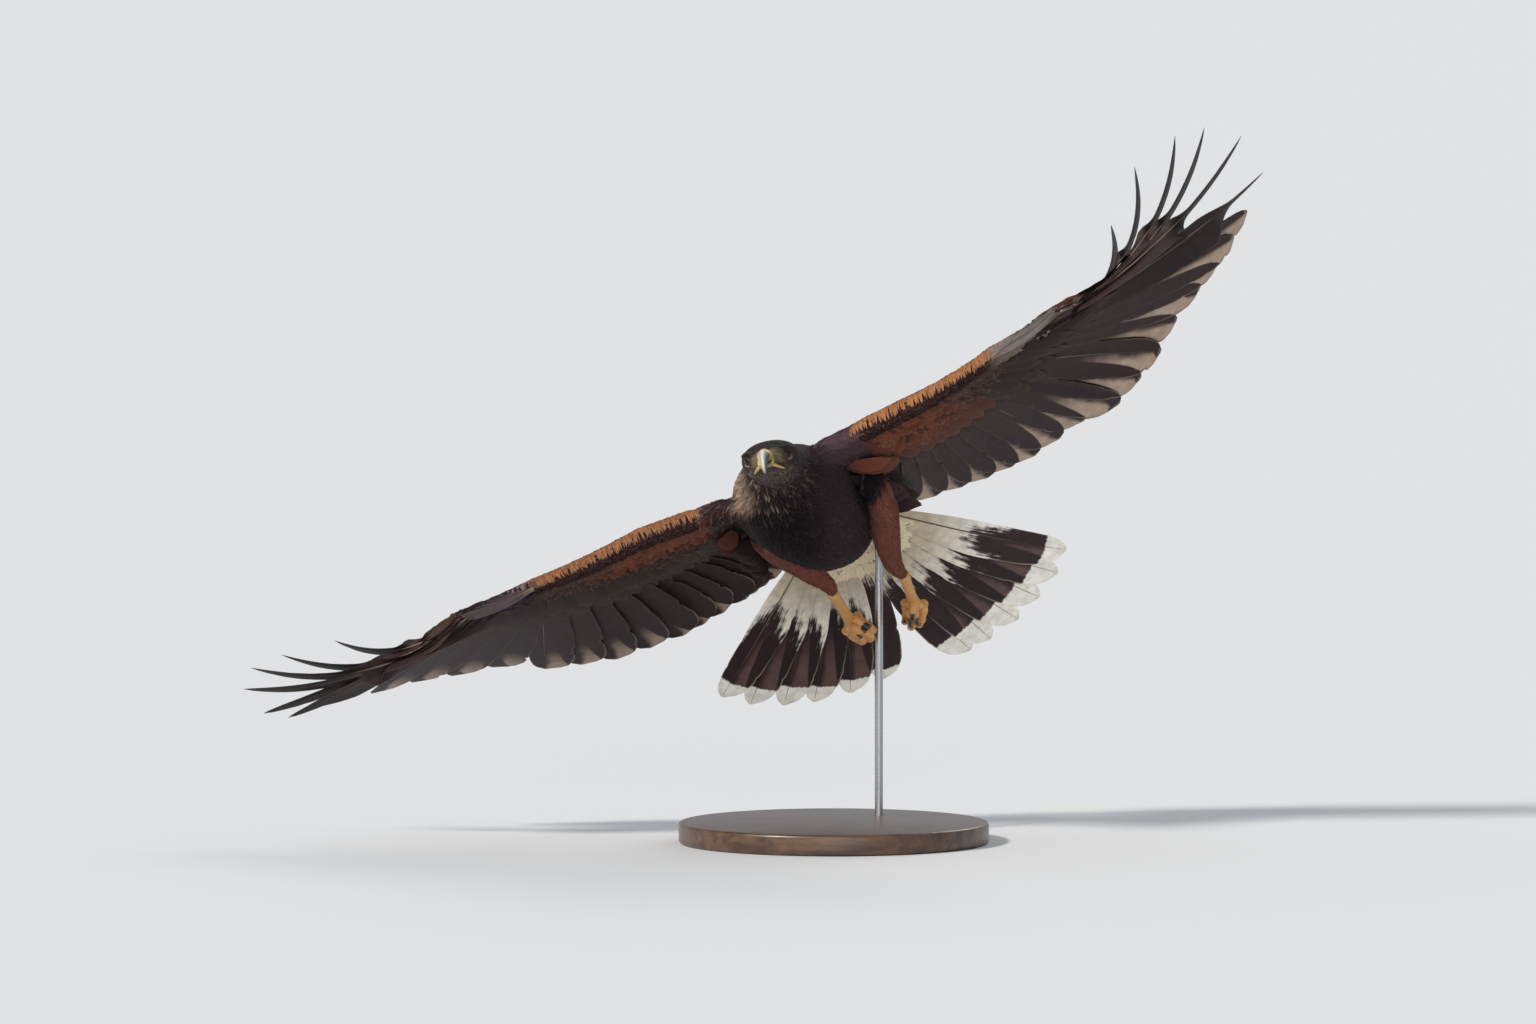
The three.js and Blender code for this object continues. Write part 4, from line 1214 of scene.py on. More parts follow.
def plumage(points):
    """Ground colour of skin and coat on the body."""
    q = to_head(points)
    colour = np.tile(BODY_DARK, (len(points), 1))
    # The bird's left flank is painted lighter, as painted light.
    colour = blend(colour, LIT_FLANK, smooth(-12, 42, points[:, 0] + 0.4 * points[:, 1]))
    upper = smooth(-8, 14, points[:, 2] + 0.15 * points[:, 1])
    colour = blend(colour, BACK_DARK, upper)
    colour = blend(colour, HEAD_BROWN, 1 - smooth(20, 62, q[:, 1]))
    # The top of the head is painted darker, a painted shade against the light that falls there.
    colour = blend(colour, CROWN_SHADE, 0.8 * smooth(4, 12, q[:, 2]) * (1 - smooth(30, 50, q[:, 1])))
    # The front of the left shoulder is painted a light taupe, as painted light.
    lit_shoulder = smooth(40, 56, points[:, 0]) * (1 - smooth(-18, 8, points[:, 1]))
    lit_shoulder = lit_shoulder * smooth(-30, -18, points[:, 2]) * (1 - smooth(-6, 4, points[:, 2]))
    colour = blend(colour, LIT_SHOULDER_TAUPE, 0.6 * lit_shoulder)
    throat = (1 - smooth(6, 30, q[:, 1])) * smooth(2, 12, -q[:, 2]) * (1 - smooth(10, 24, np.abs(q[:, 0])))
    colour = blend(colour, THROAT_TAN, 0.12 * throat)
    vent = smooth(108, 124, points[:, 1] - 0.1 * points[:, 2]) * (1 - smooth(-24, -10, points[:, 2]))
    rump = smooth(142, 156, points[:, 1])
    colour = blend(colour, CREAM, np.maximum(vent, rump))
    for leg in LEGS:
        share, apart = thigh_share(points, leg)
        # Above its rufous, the top of each thigh is painted near black: partly dark body feathers and partly
        # a painted shadow between trunk and thigh.
        above = (1 - smooth(leg["rufous"] - 0.1, leg["rufous"], share)) * (1 - smooth(8, 20, apart))
        colour = blend(colour, BODY_DARK, 0.85 * above)
        red = (1 - smooth(2, 7, apart)) * smooth(leg["rufous"] - 0.05, leg["rufous"] + 0.05, share)
        colour = blend(colour, THIGH_RUFOUS, red)
    for wing in WINGS:
        side = wing["side"]
        edge = wing["shoulder"]
        near = smooth(edge - 6, edge + 4, points[:, 0] * side) * (1 - smooth(60, 110, points[:, 1]))
        lower = points[:, 2] < np.interp(points[:, 0] * side, (58, 340), (0, 6))
        colour = blend(colour, np.where(lower[:, None], LINING_RUFOUS, SHOULDER_RUFOUS), near)
    return colour


def march(surface, roots, length, rows, lift, base):
    """Centre lines laid over the skin from each root, rising towards their tips."""
    place, normal, bake = surface.nearest(roots)
    line, normals = [], []
    step = (length / (rows - 1))[:, None]
    for k in range(rows):
        height = base + lift * k * step[:, 0]
        line.append(place + normal * height[:, None])
        normals.append(normal)
        if k + 1 < rows:
            place, normal, _ = surface.nearest(place + flatten(lie(place), normal) * step)
    return np.stack(line, 1), np.stack(normals, 1), bake


def body_coat(surface, rng):
    centres = surface.points[surface.corners].mean(1)
    gaps = tuft_gap(tuft_length(centres))
    odds = surface.areas / gaps ** 2
    odds = odds * ~on_wing(centres)
    places = surface.scatter(rng, odds, int(odds.sum() * 6))
    q = to_head(places)
    bare = q[:, 1] < np.where(q[:, 2] < -12.4, -22.5, -18.6)
    lore = (q[:, 1] < -8.5) & (np.abs(q[:, 2] + 1.0) < 5.5) & (np.abs(q[:, 0]) < 16)
    lore = lore & (rng.random(len(q)) < 0.6)
    eye = eye_distance(q)
    mouth = (q[:, 1] < -5) & (np.abs(q[:, 2] + 11.4) < 1.1) & (np.abs(q[:, 0]) < 17)
    foot = np.zeros(len(places), bool)
    for leg in LEGS:
        foot |= np.linalg.norm(places - np.array(leg["hock"], float), axis=1) < 7
    keep = ~(bare | lore | (eye < EYE_RADIUS + 0.7) | mouth | foot)
    places = places[keep]
    length = tuft_length(places)
    gaps = tuft_gap(length)
    head = to_head(places)[:, 1] < 30
    kept = []
    for part, cell in ((head, 3.6), (~head, 9.0)):
        numbers = np.flatnonzero(part)
        kept.append(numbers[thin_out(places[numbers], gaps[numbers], cell)])
    kept = np.concatenate(kept)
    return places[kept], length[kept]


def coat_colours(rng, points):
    """Colours for single feathers, with the differences between neighbours, and their pale fringes."""
    shade = plumage(points)
    q = to_head(points)
    count = len(points)
    head = 1 - smooth(24, 70, q[:, 1])
    below = smooth(4, 14, -q[:, 2])
    lit = smooth(6, -18, points[:, 0] - 10)
    streak = (rng.random(count) < 0.05 + 0.26 * head * below) * head
    shade = blend(shade, THROAT_TAN, streak * rng.uniform(0.2, 0.75, count) * (0.5 + 0.5 * lit))
    crown = (rng.random(count) < 0.06) * (1 - smooth(-4, 16, q[:, 1])) * smooth(2, 10, q[:, 2])
    shade = blend(shade, linear(110, 100, 92), crown * 0.45)
    # The side of the neck and the shoulder on the bird's right are painted taupe, partly their own colour
    # and partly painted light, with buff edges.
    collar_light_and_buff = smooth(10, 30, -points[:, 0]) * smooth(22, 40, q[:, 1]) * (1 - smooth(-25, 15, points[:, 1]))
    collar_light_and_buff = collar_light_and_buff * smooth(-42, -28, points[:, 2]) * (1 - smooth(-8, 8, points[:, 2]))
    beside = smooth(28, 44, -points[:, 0])[:, None]
    taupe = linear(168, 142, 122) * (1 - beside) + linear(63, 40, 43) * beside
    shade = blend(shade, taupe, 0.75 * collar_light_and_buff * rng.uniform(0.35, 1, count))
    chin = (1 - smooth(-4, 4, q[:, 1])) * smooth(9, 13, -q[:, 2]) * (rng.random(count) < 0.5)
    shade = blend(shade, THROAT_TAN, 0.5 * chin)
    lores = (1 - smooth(-10, -6, q[:, 1])) * (np.abs(q[:, 2] + 1) < 6.5) * (np.abs(q[:, 0]) < 16)
    shade = blend(shade, LORE_OLIVE, lores * rng.uniform(0.3, 0.75, count))
    spread = 0.09 + 0.1 * head
    shade = shade * (1 + spread * rng.uniform(-1, 1, count))[:, None]
    fringe = 0.02 + 0.12 * head + 0.3 * collar_light_and_buff + 0.06 * rng.random(count)
    return shade, fringe


FEATHERS_IN_A_PIECE = 3200


def pieces_of(name, material, slot, feathers, rng, **more):
    """Meshes of small feathers, from their lines, normals, widths, bake places, colours and fringes."""
    for number, start in enumerate(range(0, len(feathers[0]), FEATHERS_IN_A_PIECE), 1):
        part = slice(start, start + FEATHERS_IN_A_PIECE)
        pile = Pile()
        short_feathers(pile, rng, *(entry[part] for entry in feathers), **more)
        dress(pile.build(f"{name}_{number}"), material)


def batch(rng, lines, normals, width, bake, colour, low, high, fringe):
    """A group of feathers of one colour, from low to high in brightness."""
    count = len(lines)
    shade = np.broadcast_to(colour, (count, 3)) * rng.uniform(low, high, count)[:, None]
    return lines, normals, np.full(count, width, float), bake, shade, np.full(count, fringe)


def gather(chunks):
    """Joins groups of feathers, entry by entry."""
    return [np.concatenate(entries) for entries in zip(*chunks)]


# Wing coverts in rows. Distances run over the leading edge: below zero on the upper side and above
# zero on the lower side. Each row: start, length, width, turn outboard in radians, and its colour.
# Shadow rows are dark maroon: partly their own colour and partly a painted shadow under the leading roll.
BAND, SHADOW, LINING = 0, 1, 2
LOWER_ROWS = (
    (-13.5, 7.5, 4, 1.1, BAND), (-11.5, 7.5, 3.2, 0.3, BAND), (-8.8, 7.5, 2.8, -0.1, BAND),
    (-6, 7, 2.7, -0.2, BAND), (-3.8, 6, 3.6, -0.1, SHADOW), (-1.2, 6.4, 4.2, 0, SHADOW),
    (1.8, 7, 4.6, 0.1, SHADOW), (5, 8.5, 5.4, 0.1, SHADOW), (11, 12, 8, 0.25, LINING),
    (15, 15, 9, 0.3, LINING), (20, 17, 10, 0.35, LINING), (26, 18, 11, 0.4, LINING),
    (33, 19, 11.5, 0.4, LINING), (41, 20, 12, 0.4, LINING), (49, 20, 12.5, 0.4, LINING),
    (57, 21, 13, 0.4, LINING), (65, 21, 13, 0.4, LINING),
)
UPPER_ROWS = (
    (11.5, 9, 6, 0.4, BAND), (15, 10, 7, 0.3, BAND), (19, 11, 8, 0.3, BAND), (24, 13, 9, 0.35, BAND),
    (30, 15, 10, 0.4, BAND), (37, 17, 11, 0.4, LINING), (45, 19, 12, 0.4, LINING),
    (53, 20, 12.5, 0.4, LINING), (61, 21, 13, 0.4, LINING), (69, 21, 13, 0.4, LINING),
)
# Depth of the coverts behind the leading edge of the forearm, in millimetres.
FOREARM_REACH = 76


def rank_pitch(wing, rank):
    """Millimetres along the wing for one rank."""
    step = bone_at(wing, np.array(rank + 0.2)) - bone_at(wing, np.array(rank - 0.2))
    return max(np.linalg.norm(step) / 0.4, 4.0)


def covert_plan(wing, rows, rng):
    """Rank, start, length, width, turn and kind of each small covert."""
    plan = []
    for start, long, wide, turn, kind in rows:
        rank = wing["coverts"] + 0.4 * rng.random()
        while rank < 21.8:
            reach = fore_length(wing, rank) + np.interp(rank, (-2, 10, 13, 22), (38, 38, 16, 8))
            scale = reach / FOREARM_REACH if start > 12 else min(1, reach / FOREARM_REACH * 1.35)
            size = max(scale, 0.62) if kind == LINING else max(min(scale * 1.3, 1), 0.8)
            length = long * size * rng.uniform(0.88, 1.15)
            width = wide * size * rng.uniform(0.9, 1.12)
            place = start * scale + rng.normal(0, 0.06 * long)
            plan.append((rank, place, length, width, turn + rng.normal(0, 0.08), kind))
            rank += 0.5 * width / rank_pitch(wing, rank)
    return np.array(plan)


def covert_shade(wing, rank, place, kind, upper, rng):
    hand = smooth(11.2, 13.2, rank)
    if upper:
        colour = blend(SHOULDER_RUFOUS, COVERT_DARK, 0.55 * (kind == LINING))
        return blend(colour, linear(64, 52, 48), 0.85 * hand)
    # Shadow rows take the dark maroon, partly a painted shadow under the leading roll.
    colour = blend(BAND_ORANGE, MAROON_AND_SHADE, 0.97 * (kind == SHADOW))
    lining = blend(LINING_RUFOUS, LINING_BROWN, 0.92 * smooth(3.5, 9, rank))
    lining = blend(lining, MAROON_AND_SHADE, 0.5 * (rng.random(len(rank)) < 0.2))
    # On the right wing the lining is painted darker further back, a painted shade.
    if wing["side"] < 0:
        lining = blend(lining, linear(46, 35, 34), 0.9 * smooth(24, 36, place))
    colour = np.where((kind == LINING)[:, None], lining, colour)
    # The band is darker on the right wing, a painted shade.
    colour = colour * np.where(kind == BAND, wing["band"], 1.0)[:, None]
    distal, first, last = wing["hand"]
    band = np.where((place < first)[:, None], linear(*distal), linear(54, 43, 42))
    # A painted shadow line runs behind the pale coverts of the hand, from first to last.
    band = blend(band, linear(26, 18, 29), 0.95 * (place > first) * (place < last))
    return blend(colour, band, hand)


def wing_rows(wing, upper, rng, surface):
    rank, start, length, width, turn, kind = covert_plan(wing, UPPER_ROWS if upper else LOWER_ROWS, rng).T
    rows = 6
    t = np.linspace(0, 1, rows)
    pitch = np.interp(rank, (-2, 2, 12.4, 22), (20, 12, 11, 9))
    ranks = np.clip(rank[:, None] + (np.sin(turn) * length / pitch)[:, None] * t, -2, 22.4)
    place = start[:, None] + (np.cos(turn) * length)[:, None] * t
    above, above_normal = wing_surface(wing, ranks, np.maximum(np.abs(place), 0.1), True)
    below, below_normal = wing_surface(wing, ranks, np.maximum(np.abs(place), 0.1), False)
    over = (place < 0)[..., None] | upper
    points = np.where(over, above, below)
    normals = unit(np.where(over, above_normal, below_normal))
    rise = (0.1 * length)[:, None] * t
    tucked = 5 * (1 - smooth(wing["coverts"] + 0.3, wing["coverts"] + 1.6, rank))
    height = -1.4 + rise + rng.normal(0, 0.18, (len(rank), 1)) - (0.5 * (kind == SHADOW) + tucked)[:, None]
    lines = points + normals * height[..., None]
    _, _, bake = surface.nearest(lines[:, 0])
    spread = np.where(kind == BAND, 0.3, 0.18)
    shade = covert_shade(wing, rank, start, kind, upper, rng)
    shade = shade * (1 + rng.uniform(-1, 1, len(rank)) * spread)[:, None]
    fringe = np.where(kind == BAND, 0.5, 0.2) * rng.uniform(0.5, 1, len(rank))
    return lines, normals, width, bake, shade, fringe


# Axillary feathers in groups, for the left side: first and last root, direction, length, width,
# colour and number. The last two groups are dark, partly their own colour and partly a painted shade
# under the wing.
AXILLARIES = (
    ((62, 12, -18), (65, 38, -14), (0.93, 0.27, -0.22), 48, 17, linear(104, 58, 47), 11),
    ((58, 30, -26), (60, 80, -30), (0.62, 0.74, -0.24), 56, 20, linear(50, 33, 34), 11),
    ((54, 56, -10), (58, 100, -16), (0.48, 0.88, -0.14), 70, 22, linear(40, 30, 31), 10),
)

# Scapular feathers in groups: first and last root on the back, first and last end on the wing as
# rank and distance behind the leading edge, width, colour and number.
SCAPULARS = (
    ((32, 26, 16), (34, 72, 12), (-1.6, 88), (-1.7, 130), 20, linear(52, 39, 34), 12),
    ((42, 22, 10), (42, 58, 8), (-0.7, 84), (-0.9, 124), 21, linear(46, 35, 32), 11),
)


def axillaries(wing, rng, surface):
    """Long soft feathers between the flank and the root of the wing."""
    chunks = []
    side = wing["side"]
    turn = np.array([side, 1, 1])
    # On the right wing the brightness makes them darker, a painted shade.
    drop, reach, dim = wing["axillaries"]
    for first, last, toward, length, width, colour, count in AXILLARIES:
        roots = blend(first, last, np.linspace(0, 1, count)) * turn
        roots = roots + np.array([0, 0, drop]) + rng.normal(0, 1.2, roots.shape)
        way = unit(np.array(toward) * turn + rng.normal(0, 0.035, (count, 3)))
        t = np.linspace(0, 1, 8)
        sizes = length * reach * rng.uniform(0.85, 1.1, count)
        lines = roots[:, None] + way[:, None] * (sizes[:, None] * t)[..., None]
        lines[..., 2] -= 5 * np.sin(t * np.pi)[None]
        normals = np.tile(unit(np.array([0.15 * side, -0.5, -0.85])), lines.shape[:2] + (1,))
        bake = surface.nearest(lines[:, 0])[2]
        chunks.append(batch(rng, lines, normals, width, bake, colour * dim, 0.8, 1.2, 0.08))
    return gather(chunks)


def scapulars(wing, rng, surface):
    """Long feathers from the side of the back over the root of the wing."""
    chunks = []
    turn = np.array([wing["side"], 1, 1])
    t = np.linspace(0, 1, 8)
    for layer, (first, last, near, far, width, colour, count) in enumerate(SCAPULARS):
        share = np.linspace(0, 1, count)
        roots, root_normals, bake = surface.nearest(blend(first, last, share) * turn)
        rank, back = blend(near, far, share).T
        rank = rank + rng.normal(0, 0.12, count)
        ends, end_normals = wing_surface(wing, rank, back, True)
        above = 2.2 - 0.7 * layer
        roots = roots + root_normals
        middles = (roots + ends) / 2
        middles, middle_normals, _ = surface.nearest(middles)
        middles = middles + middle_normals * (above + 1)
        ends = ends + unit(end_normals) * (above + 1)
        lines = np.stack([bezier(roots[k], 2 * middles[k] - (roots[k] + ends[k]) / 2, ends[k], t)
                          for k in range(count)])
        normals = unit(np.repeat(unit(root_normals + unit(end_normals))[:, None], len(t), 1))
        chunks.append(batch(rng, lines, normals, width, bake, colour, 0.85, 1.15, 0.1))
    return gather(chunks)


def greater_coverts(wing, upper, rng, surface):
    """The long coverts over the roots of the flight feathers, in two rows."""
    chunks = []
    for row, (begin, share, width) in enumerate(((12.0, 0.36, 25), (6.0, 0.27, 21))):
        rank = np.arange(-1.0, 22.4, 1.0) + (0.5 if row else 0) + rng.normal(0, 0.06, 24)
        rank = np.clip(rank, -1.4, 22.2)
        length = share * shaft_length(wing, rank) * rng.uniform(0.95, 1.05, len(rank))
        length = length * np.interp(rank, (12, 16, 22), (1, 0.9, 0.8))
        breadth = width * np.interp(rank, (-1, 3, 12, 16, 22), (0.8, 1, 1, 0.85, 0.5))
        t = np.linspace(0, 1, 12)
        fore = fore_length(wing, rank)
        back = (fore + begin)[:, None] + length[:, None] * t
        ranks = rank[:, None] + 0 * t
        points, normals = wing_surface(wing, ranks, np.maximum(back, 0.5), upper)
        height = (-2.0 + 0.8 * row) + (3.4 + 0.6 * row) * t[None] + rng.normal(0, 0.1, (len(rank), 1))
        lines = points + normals * height[..., None]
        if upper:
            ground = blend(COVERT_DARK, linear(104, 60, 40), 0.5 * row + 0 * rank)
        else:
            # The left wing's second row is rufous near the body; the right wing's stays dark, a painted
            # shade.
            ground = blend(linear(54, 43, 40), LINING_RUFOUS, 0.55 * row * (rank < 8) * (wing["side"] > 0))
        bake = surface.nearest(lines[:, 0])[2]
        chunks.append(batch(rng, lines, normals, breadth, bake, ground, 0.86, 1.14, 0.08))
    return gather(chunks)


# Rows of tail coverts: distance of the roots from the fan's centre, length, width and height.
TAIL_COVERTS = ((40, 66, 21, 4.5), (31, 60, 20, 6.5), (20, 56, 19, 8.5), (10, 50, 18, 10.5))


def tail_coverts(rng, surface):
    """Long soft coverts over the roots of the tail feathers, above and below."""
    chunks = []
    for sign in (-1, 1):
        for row, (reach, length, width, high) in enumerate(TAIL_COVERTS):
            angle = np.linspace(-42, 42, 30 - row) + rng.normal(0, 0.8, 30 - row)
            t = np.linspace(0, 1, 11)
            sizes = length * rng.uniform(0.93, 1.06, len(angle)) * (1 - 0.1 * np.abs(angle) / 40)
            reaches = reach + sizes[:, None] * t
            depth = high * (1 - 0.55 * t)[None] + 1.5
            if sign < 0:
                depth = depth + 4.5 + 0.4 * row
            lines = tail_point(angle[:, None] * (0.65 + 0.35 * t), reaches, sign * depth)
            normals = np.tile(tail_up * sign, lines.shape[:2] + (1,))
            bake = surface.nearest(lines[:, 0])[2]
            chunks.append(batch(rng, lines, normals, width, bake, CREAM, 0.92, 1.0, 0.1))
    return gather(chunks)


class Look:
    """A material, with short ways of adding nodes to it."""

    def __init__(self, name, roughness, **sockets):
        """Sockets are named with a low line for each space."""
        self.material = bpy.data.materials.new(name)
        self.material.use_nodes = True
        self.tree = self.material.node_tree
        self.shader = self.tree.nodes["Principled BSDF"]
        self.shader.inputs["Roughness"].default_value = roughness
        for socket, value in sockets.items():
            self.shader.inputs[socket.replace("_", " ")].default_value = value

    def node(self, kind, inputs=(), **settings):
        made = self.tree.nodes.new("ShaderNode" + kind)
        for name, value in settings.items():
            setattr(made, name, value)
        for socket, value in dict(inputs).items():
            self.feed(made.inputs[socket], value)
        return made

    def feed(self, socket, value):
        if isinstance(value, bpy.types.NodeSocket):
            self.tree.links.new(value, socket)
        elif isinstance(value, np.ndarray):
            socket.default_value = (*value.tolist(), 1.0)
        else:
            socket.default_value = value

    def math(self, operation, a, b=0.0, c=0.0):
        return self.node("Math", {0: a, 1: b, 2: c}, operation=operation).outputs[0]

    def product(self, first, *others):
        for other in others:
            first = self.math("MULTIPLY", first, other)
        return first

    def rest(self, value):
        """What is left of one."""
        return self.math("SUBTRACT", 1.0, value)

    def times(self, colour, value):
        """A colour made lighter or darker by a number."""
        grey = self.node("CombineColor", {0: value, 1: value, 2: value}).outputs[0]
        return self.mix(1.0, colour, grey, "MULTIPLY")

    def step(self, value, low, high, first=0.0, last=1.0):
        inputs = {"Value": value, "From Min": low, "From Max": high, "To Min": first, "To Max": last}
        return self.node("MapRange", inputs, interpolation_type="SMOOTHSTEP").outputs["Result"]

    def mix(self, share, a, b, kind="MIX"):
        made = self.node("Mix", {0: share, 6: a, 7: b}, data_type="RGBA", blend_type=kind)
        return made.outputs[2]

    def value(self, name):
        return self.node("Attribute", attribute_name=name).outputs["Fac"]

    def colour(self, name):
        return self.node("Attribute", attribute_name=name).outputs["Color"]

    def vane(self):
        uv = self.node("UVMap", uv_map="Vane").outputs["UV"]
        split = self.node("SeparateXYZ", {0: uv})
        return split.outputs[0], split.outputs[1]

    def place(self):
        return self.node("TexCoord").outputs["Object"]

    def noise(self, scale, detail=3.0, place=None, rough=0.55):
        inputs = {"Vector": place or self.place(), "Scale": scale, "Detail": detail, "Roughness": rough}
        return self.node("TexNoise", inputs).outputs["Fac"]

    def bump(self, height, distance, strength):
        inputs = {"Height": height, "Distance": distance, "Strength": strength}
        self.feed(self.shader.inputs["Normal"], self.node("Bump", inputs).outputs["Normal"])

    def paint(self, colour):
        self.feed(self.shader.inputs["Base Color"], colour)

    def barbs(self, u, v, pitch, slant):
        """Fine stripes that leave the shaft at a slant, between 0 and 1, and the distance from the shaft."""
        off = self.math("ABSOLUTE", self.math("SUBTRACT", u, 0.5))
        at = self.math("SUBTRACT", v, self.product(off, slant))
        wave = self.math("SINE", self.product(at, pitch))
        return self.math("MULTIPLY_ADD", wave, 0.5, 0.5), off


def coat_look():
    """Small feathers: pale edges, a darker shaft and fine barbs."""
    look = Look("coat", roughness=0.72, Specular_IOR_Level=0.06, Sheen_Weight=0.05, Sheen_Roughness=0.4)
    u, v = look.vane()
    stripes, off = look.barbs(u, v, 150.0, 0.55)
    ground = look.colour("plume")
    fringe = look.value("fringe")
    tip = look.step(v, 0.72, 0.99)
    rim = look.step(off, 0.36, 0.5)
    edge = look.math("MAXIMUM", tip, look.product(rim, look.step(v, 0.3, 0.8)))
    pale = look.mix(0.55, ground, (0.42, 0.33, 0.25, 1.0))
    ground = look.mix(look.product(edge, fringe), ground, pale)
    shaft = look.rest(look.step(off, 0.015, 0.05))
    ground = look.times(ground, look.rest(look.product(shaft, 0.12)))
    root = look.step(v, 0.0, 0.45, 0.82, 1.0)
    speckle = look.step(look.noise(900.0), 0.35, 0.65, -0.08, 0.08)
    light = look.math("ADD", look.math("MULTIPLY_ADD", stripes, 0.08, 0.9), speckle)
    ground = look.times(ground, look.product(light, root))
    look.paint(ground)
    look.bump(stripes, 0.00006, 0.5)
    return look.material


def skin_look():
    look = Look("skin", roughness=0.8)
    fine = look.noise(700.0, 4.0)
    look.paint(look.times(look.colour("plume"), look.step(fine, 0.3, 0.7, 0.7, 1.0)))
    look.bump(fine, 0.0004, 0.5)
    return look.material


# Colours of the rims of the long feathers, and the light that shines through the tail.
FLIGHT_RIM = (0.34, 0.26, 0.20)
TAIL_RIM = (0.72, 0.66, 0.46)
TAIL_GLOW = ((0.16, 0.095, 0.085), 0.7, 0.22, (0.5, 0.82))


def long_look(name, glow, rim_colour, barred=False):
    """Flight feathers: darker where they overlap, lighter where one vane alone lets light through."""
    single, strength, gloss, tips = glow
    look = Look(name, roughness=0.5, Specular_IOR_Level=gloss)
    u, v = look.vane()
    stripes, off = look.barbs(u, v, 900.0, 0.16)
    under = look.value("under")
    share = look.value("share")
    quill = look.value("quill")
    over = look.value("over")
    ground = look.colour("plume")
    if barred:
        # The border of the white is broken by streaks along the feather.
        split = look.node("SeparateColor", {0: ground})
        stretch = look.node("Mapping", {"Vector": look.node("UVMap", uv_map="Vane").outputs["UV"],
                                        "Scale": (14.0, 5.0, 1.0)}).outputs[0]
        streaks = look.noise(1.0, 5.0, stretch, 0.6)
        blotches = look.noise(70.0, 4.0)
        streaks = look.step(streaks, 0.3, 0.7, -0.2, 0.2)
        rough = look.math("ADD", streaks, look.step(blotches, 0.3, 0.7, -0.13, 0.13))
        rough = look.product(rough, look.rest(split.outputs[2]))
        white = look.step(look.math("ADD", split.outputs[0], rough), 0.32, 0.68)
        dark = look.times((0.026, 0.0135, 0.0145, 1.0), split.outputs[1])
        # Towards the root the white turns a darker cream: partly cream and partly a painted shade under the
        # body.
        pale = look.mix(look.step(share, 0.25, 0.62), (0.55, 0.47, 0.35, 1.0), (0.90, 0.87, 0.79, 1.0))
        ground = look.mix(white, dark, pale)
    # The overlap shows as a dark lobe with a clear edge, and the rest of the vane glows.
    smudge = look.step(look.noise(38.0, 4.0), 0.42, 0.66)
    bright = look.node("RGBToBW", {0: ground}).outputs[0]
    alone = look.product(
        look.step(over, -0.6, 1.2),
        look.step(over, UNCOVERED - 1, UNCOVERED - 6),
        look.step(u, 0.52, 0.34),
        look.rest(look.product(smudge, look.step(u, 0.28, 0.5))),
        under,
        look.step(share, *tips),
        look.step(bright, 0.3, 0.12),
        strength,
    )
    ground = look.mix(alone, ground, (*single, 1.0))
    rim = look.product(look.step(off, 0.462, 0.497), look.step(share, 0.62, 0.9, 0.12, 1.0))
    rim = look.math("MAXIMUM", rim, look.step(share, 0.978, 0.996))
    ground = look.mix(look.product(rim, 0.5), ground, (*rim_colour, 1.0))
    dust = look.step(look.noise(120.0, 5.0), 0.3, 0.7, 0.86, 1.12)
    ground = look.times(ground, look.product(dust, look.math("MULTIPLY_ADD", stripes, 0.14, 0.93)))
    horn = look.mix(share, (0.20, 0.15, 0.11, 1.0), (0.03, 0.022, 0.02, 1.0))
    look.paint(look.mix(quill, ground, horn))
    look.bump(stripes, 0.00015, 0.5)
    return look.material


def horn_look():
    """Bill: yellow cere, pale ridge, blue-grey sides, dark tip, and painted light on the bird's right side.
    """
    look = Look("horn", roughness=0.42, Specular_IOR_Level=0.35)
    cere, pale_and_painted_light, tip = look.value("cere"), look.value("pale_and_painted_light"), look.value("tip")
    fine = look.noise(420.0, 4.0)
    blue = look.mix(look.step(fine, 0.3, 0.7), (0.034, 0.047, 0.072, 1.0), (0.065, 0.082, 0.115, 1.0))
    horn = look.mix(look.product(pale_and_painted_light, 0.9), blue, (0.60, 0.55, 0.42, 1.0))
    horn = look.mix(look.step(tip, 0.35, 1.0), horn, (0.035, 0.035, 0.04, 1.0))
    yellow = look.mix(look.step(fine, 0.35, 0.65), (0.36, 0.27, 0.06, 1.0), (0.46, 0.36, 0.11, 1.0))
    look.paint(look.mix(cere, horn, yellow))
    look.bump(look.product(fine, look.math("MULTIPLY_ADD", cere, 0.8, 0.2)), 0.0003, 0.4)
    return look.material


def plain_look(name, colour, second, scale, roughness, coat=0.0):
    """Two near colours in fine grains."""
    look = Look(name, roughness=roughness, Coat_Weight=coat, Coat_Roughness=0.15)
    fine = look.noise(scale, 5.0)
    look.paint(look.mix(look.step(fine, 0.3, 0.7), (*colour, 1.0), (*second, 1.0)))
    look.bump(fine, 0.0002, 0.5)
    return look.material


def eye_look():
    """Dark red-brown iris, black pupil, both under a clear wet cornea."""
    look = Look("eye", roughness=0.3, Coat_Weight=0.45, Coat_Roughness=0.03, Specular_IOR_Level=0.1)
    turn = look.value("turn")
    ray = look.noise(900.0, 4.0)
    iris = look.mix(look.step(ray, 0.3, 0.7), (0.026, 0.009, 0.006, 1.0), (0.075, 0.024, 0.012, 1.0))
    iris = look.mix(look.step(turn, 0.62, 0.82), iris, (0.016, 0.006, 0.005, 1.0))
    look.paint(look.mix(look.step(turn, 0.45, 0.50), (0.003, 0.002, 0.002, 1.0), iris))
    return look.material


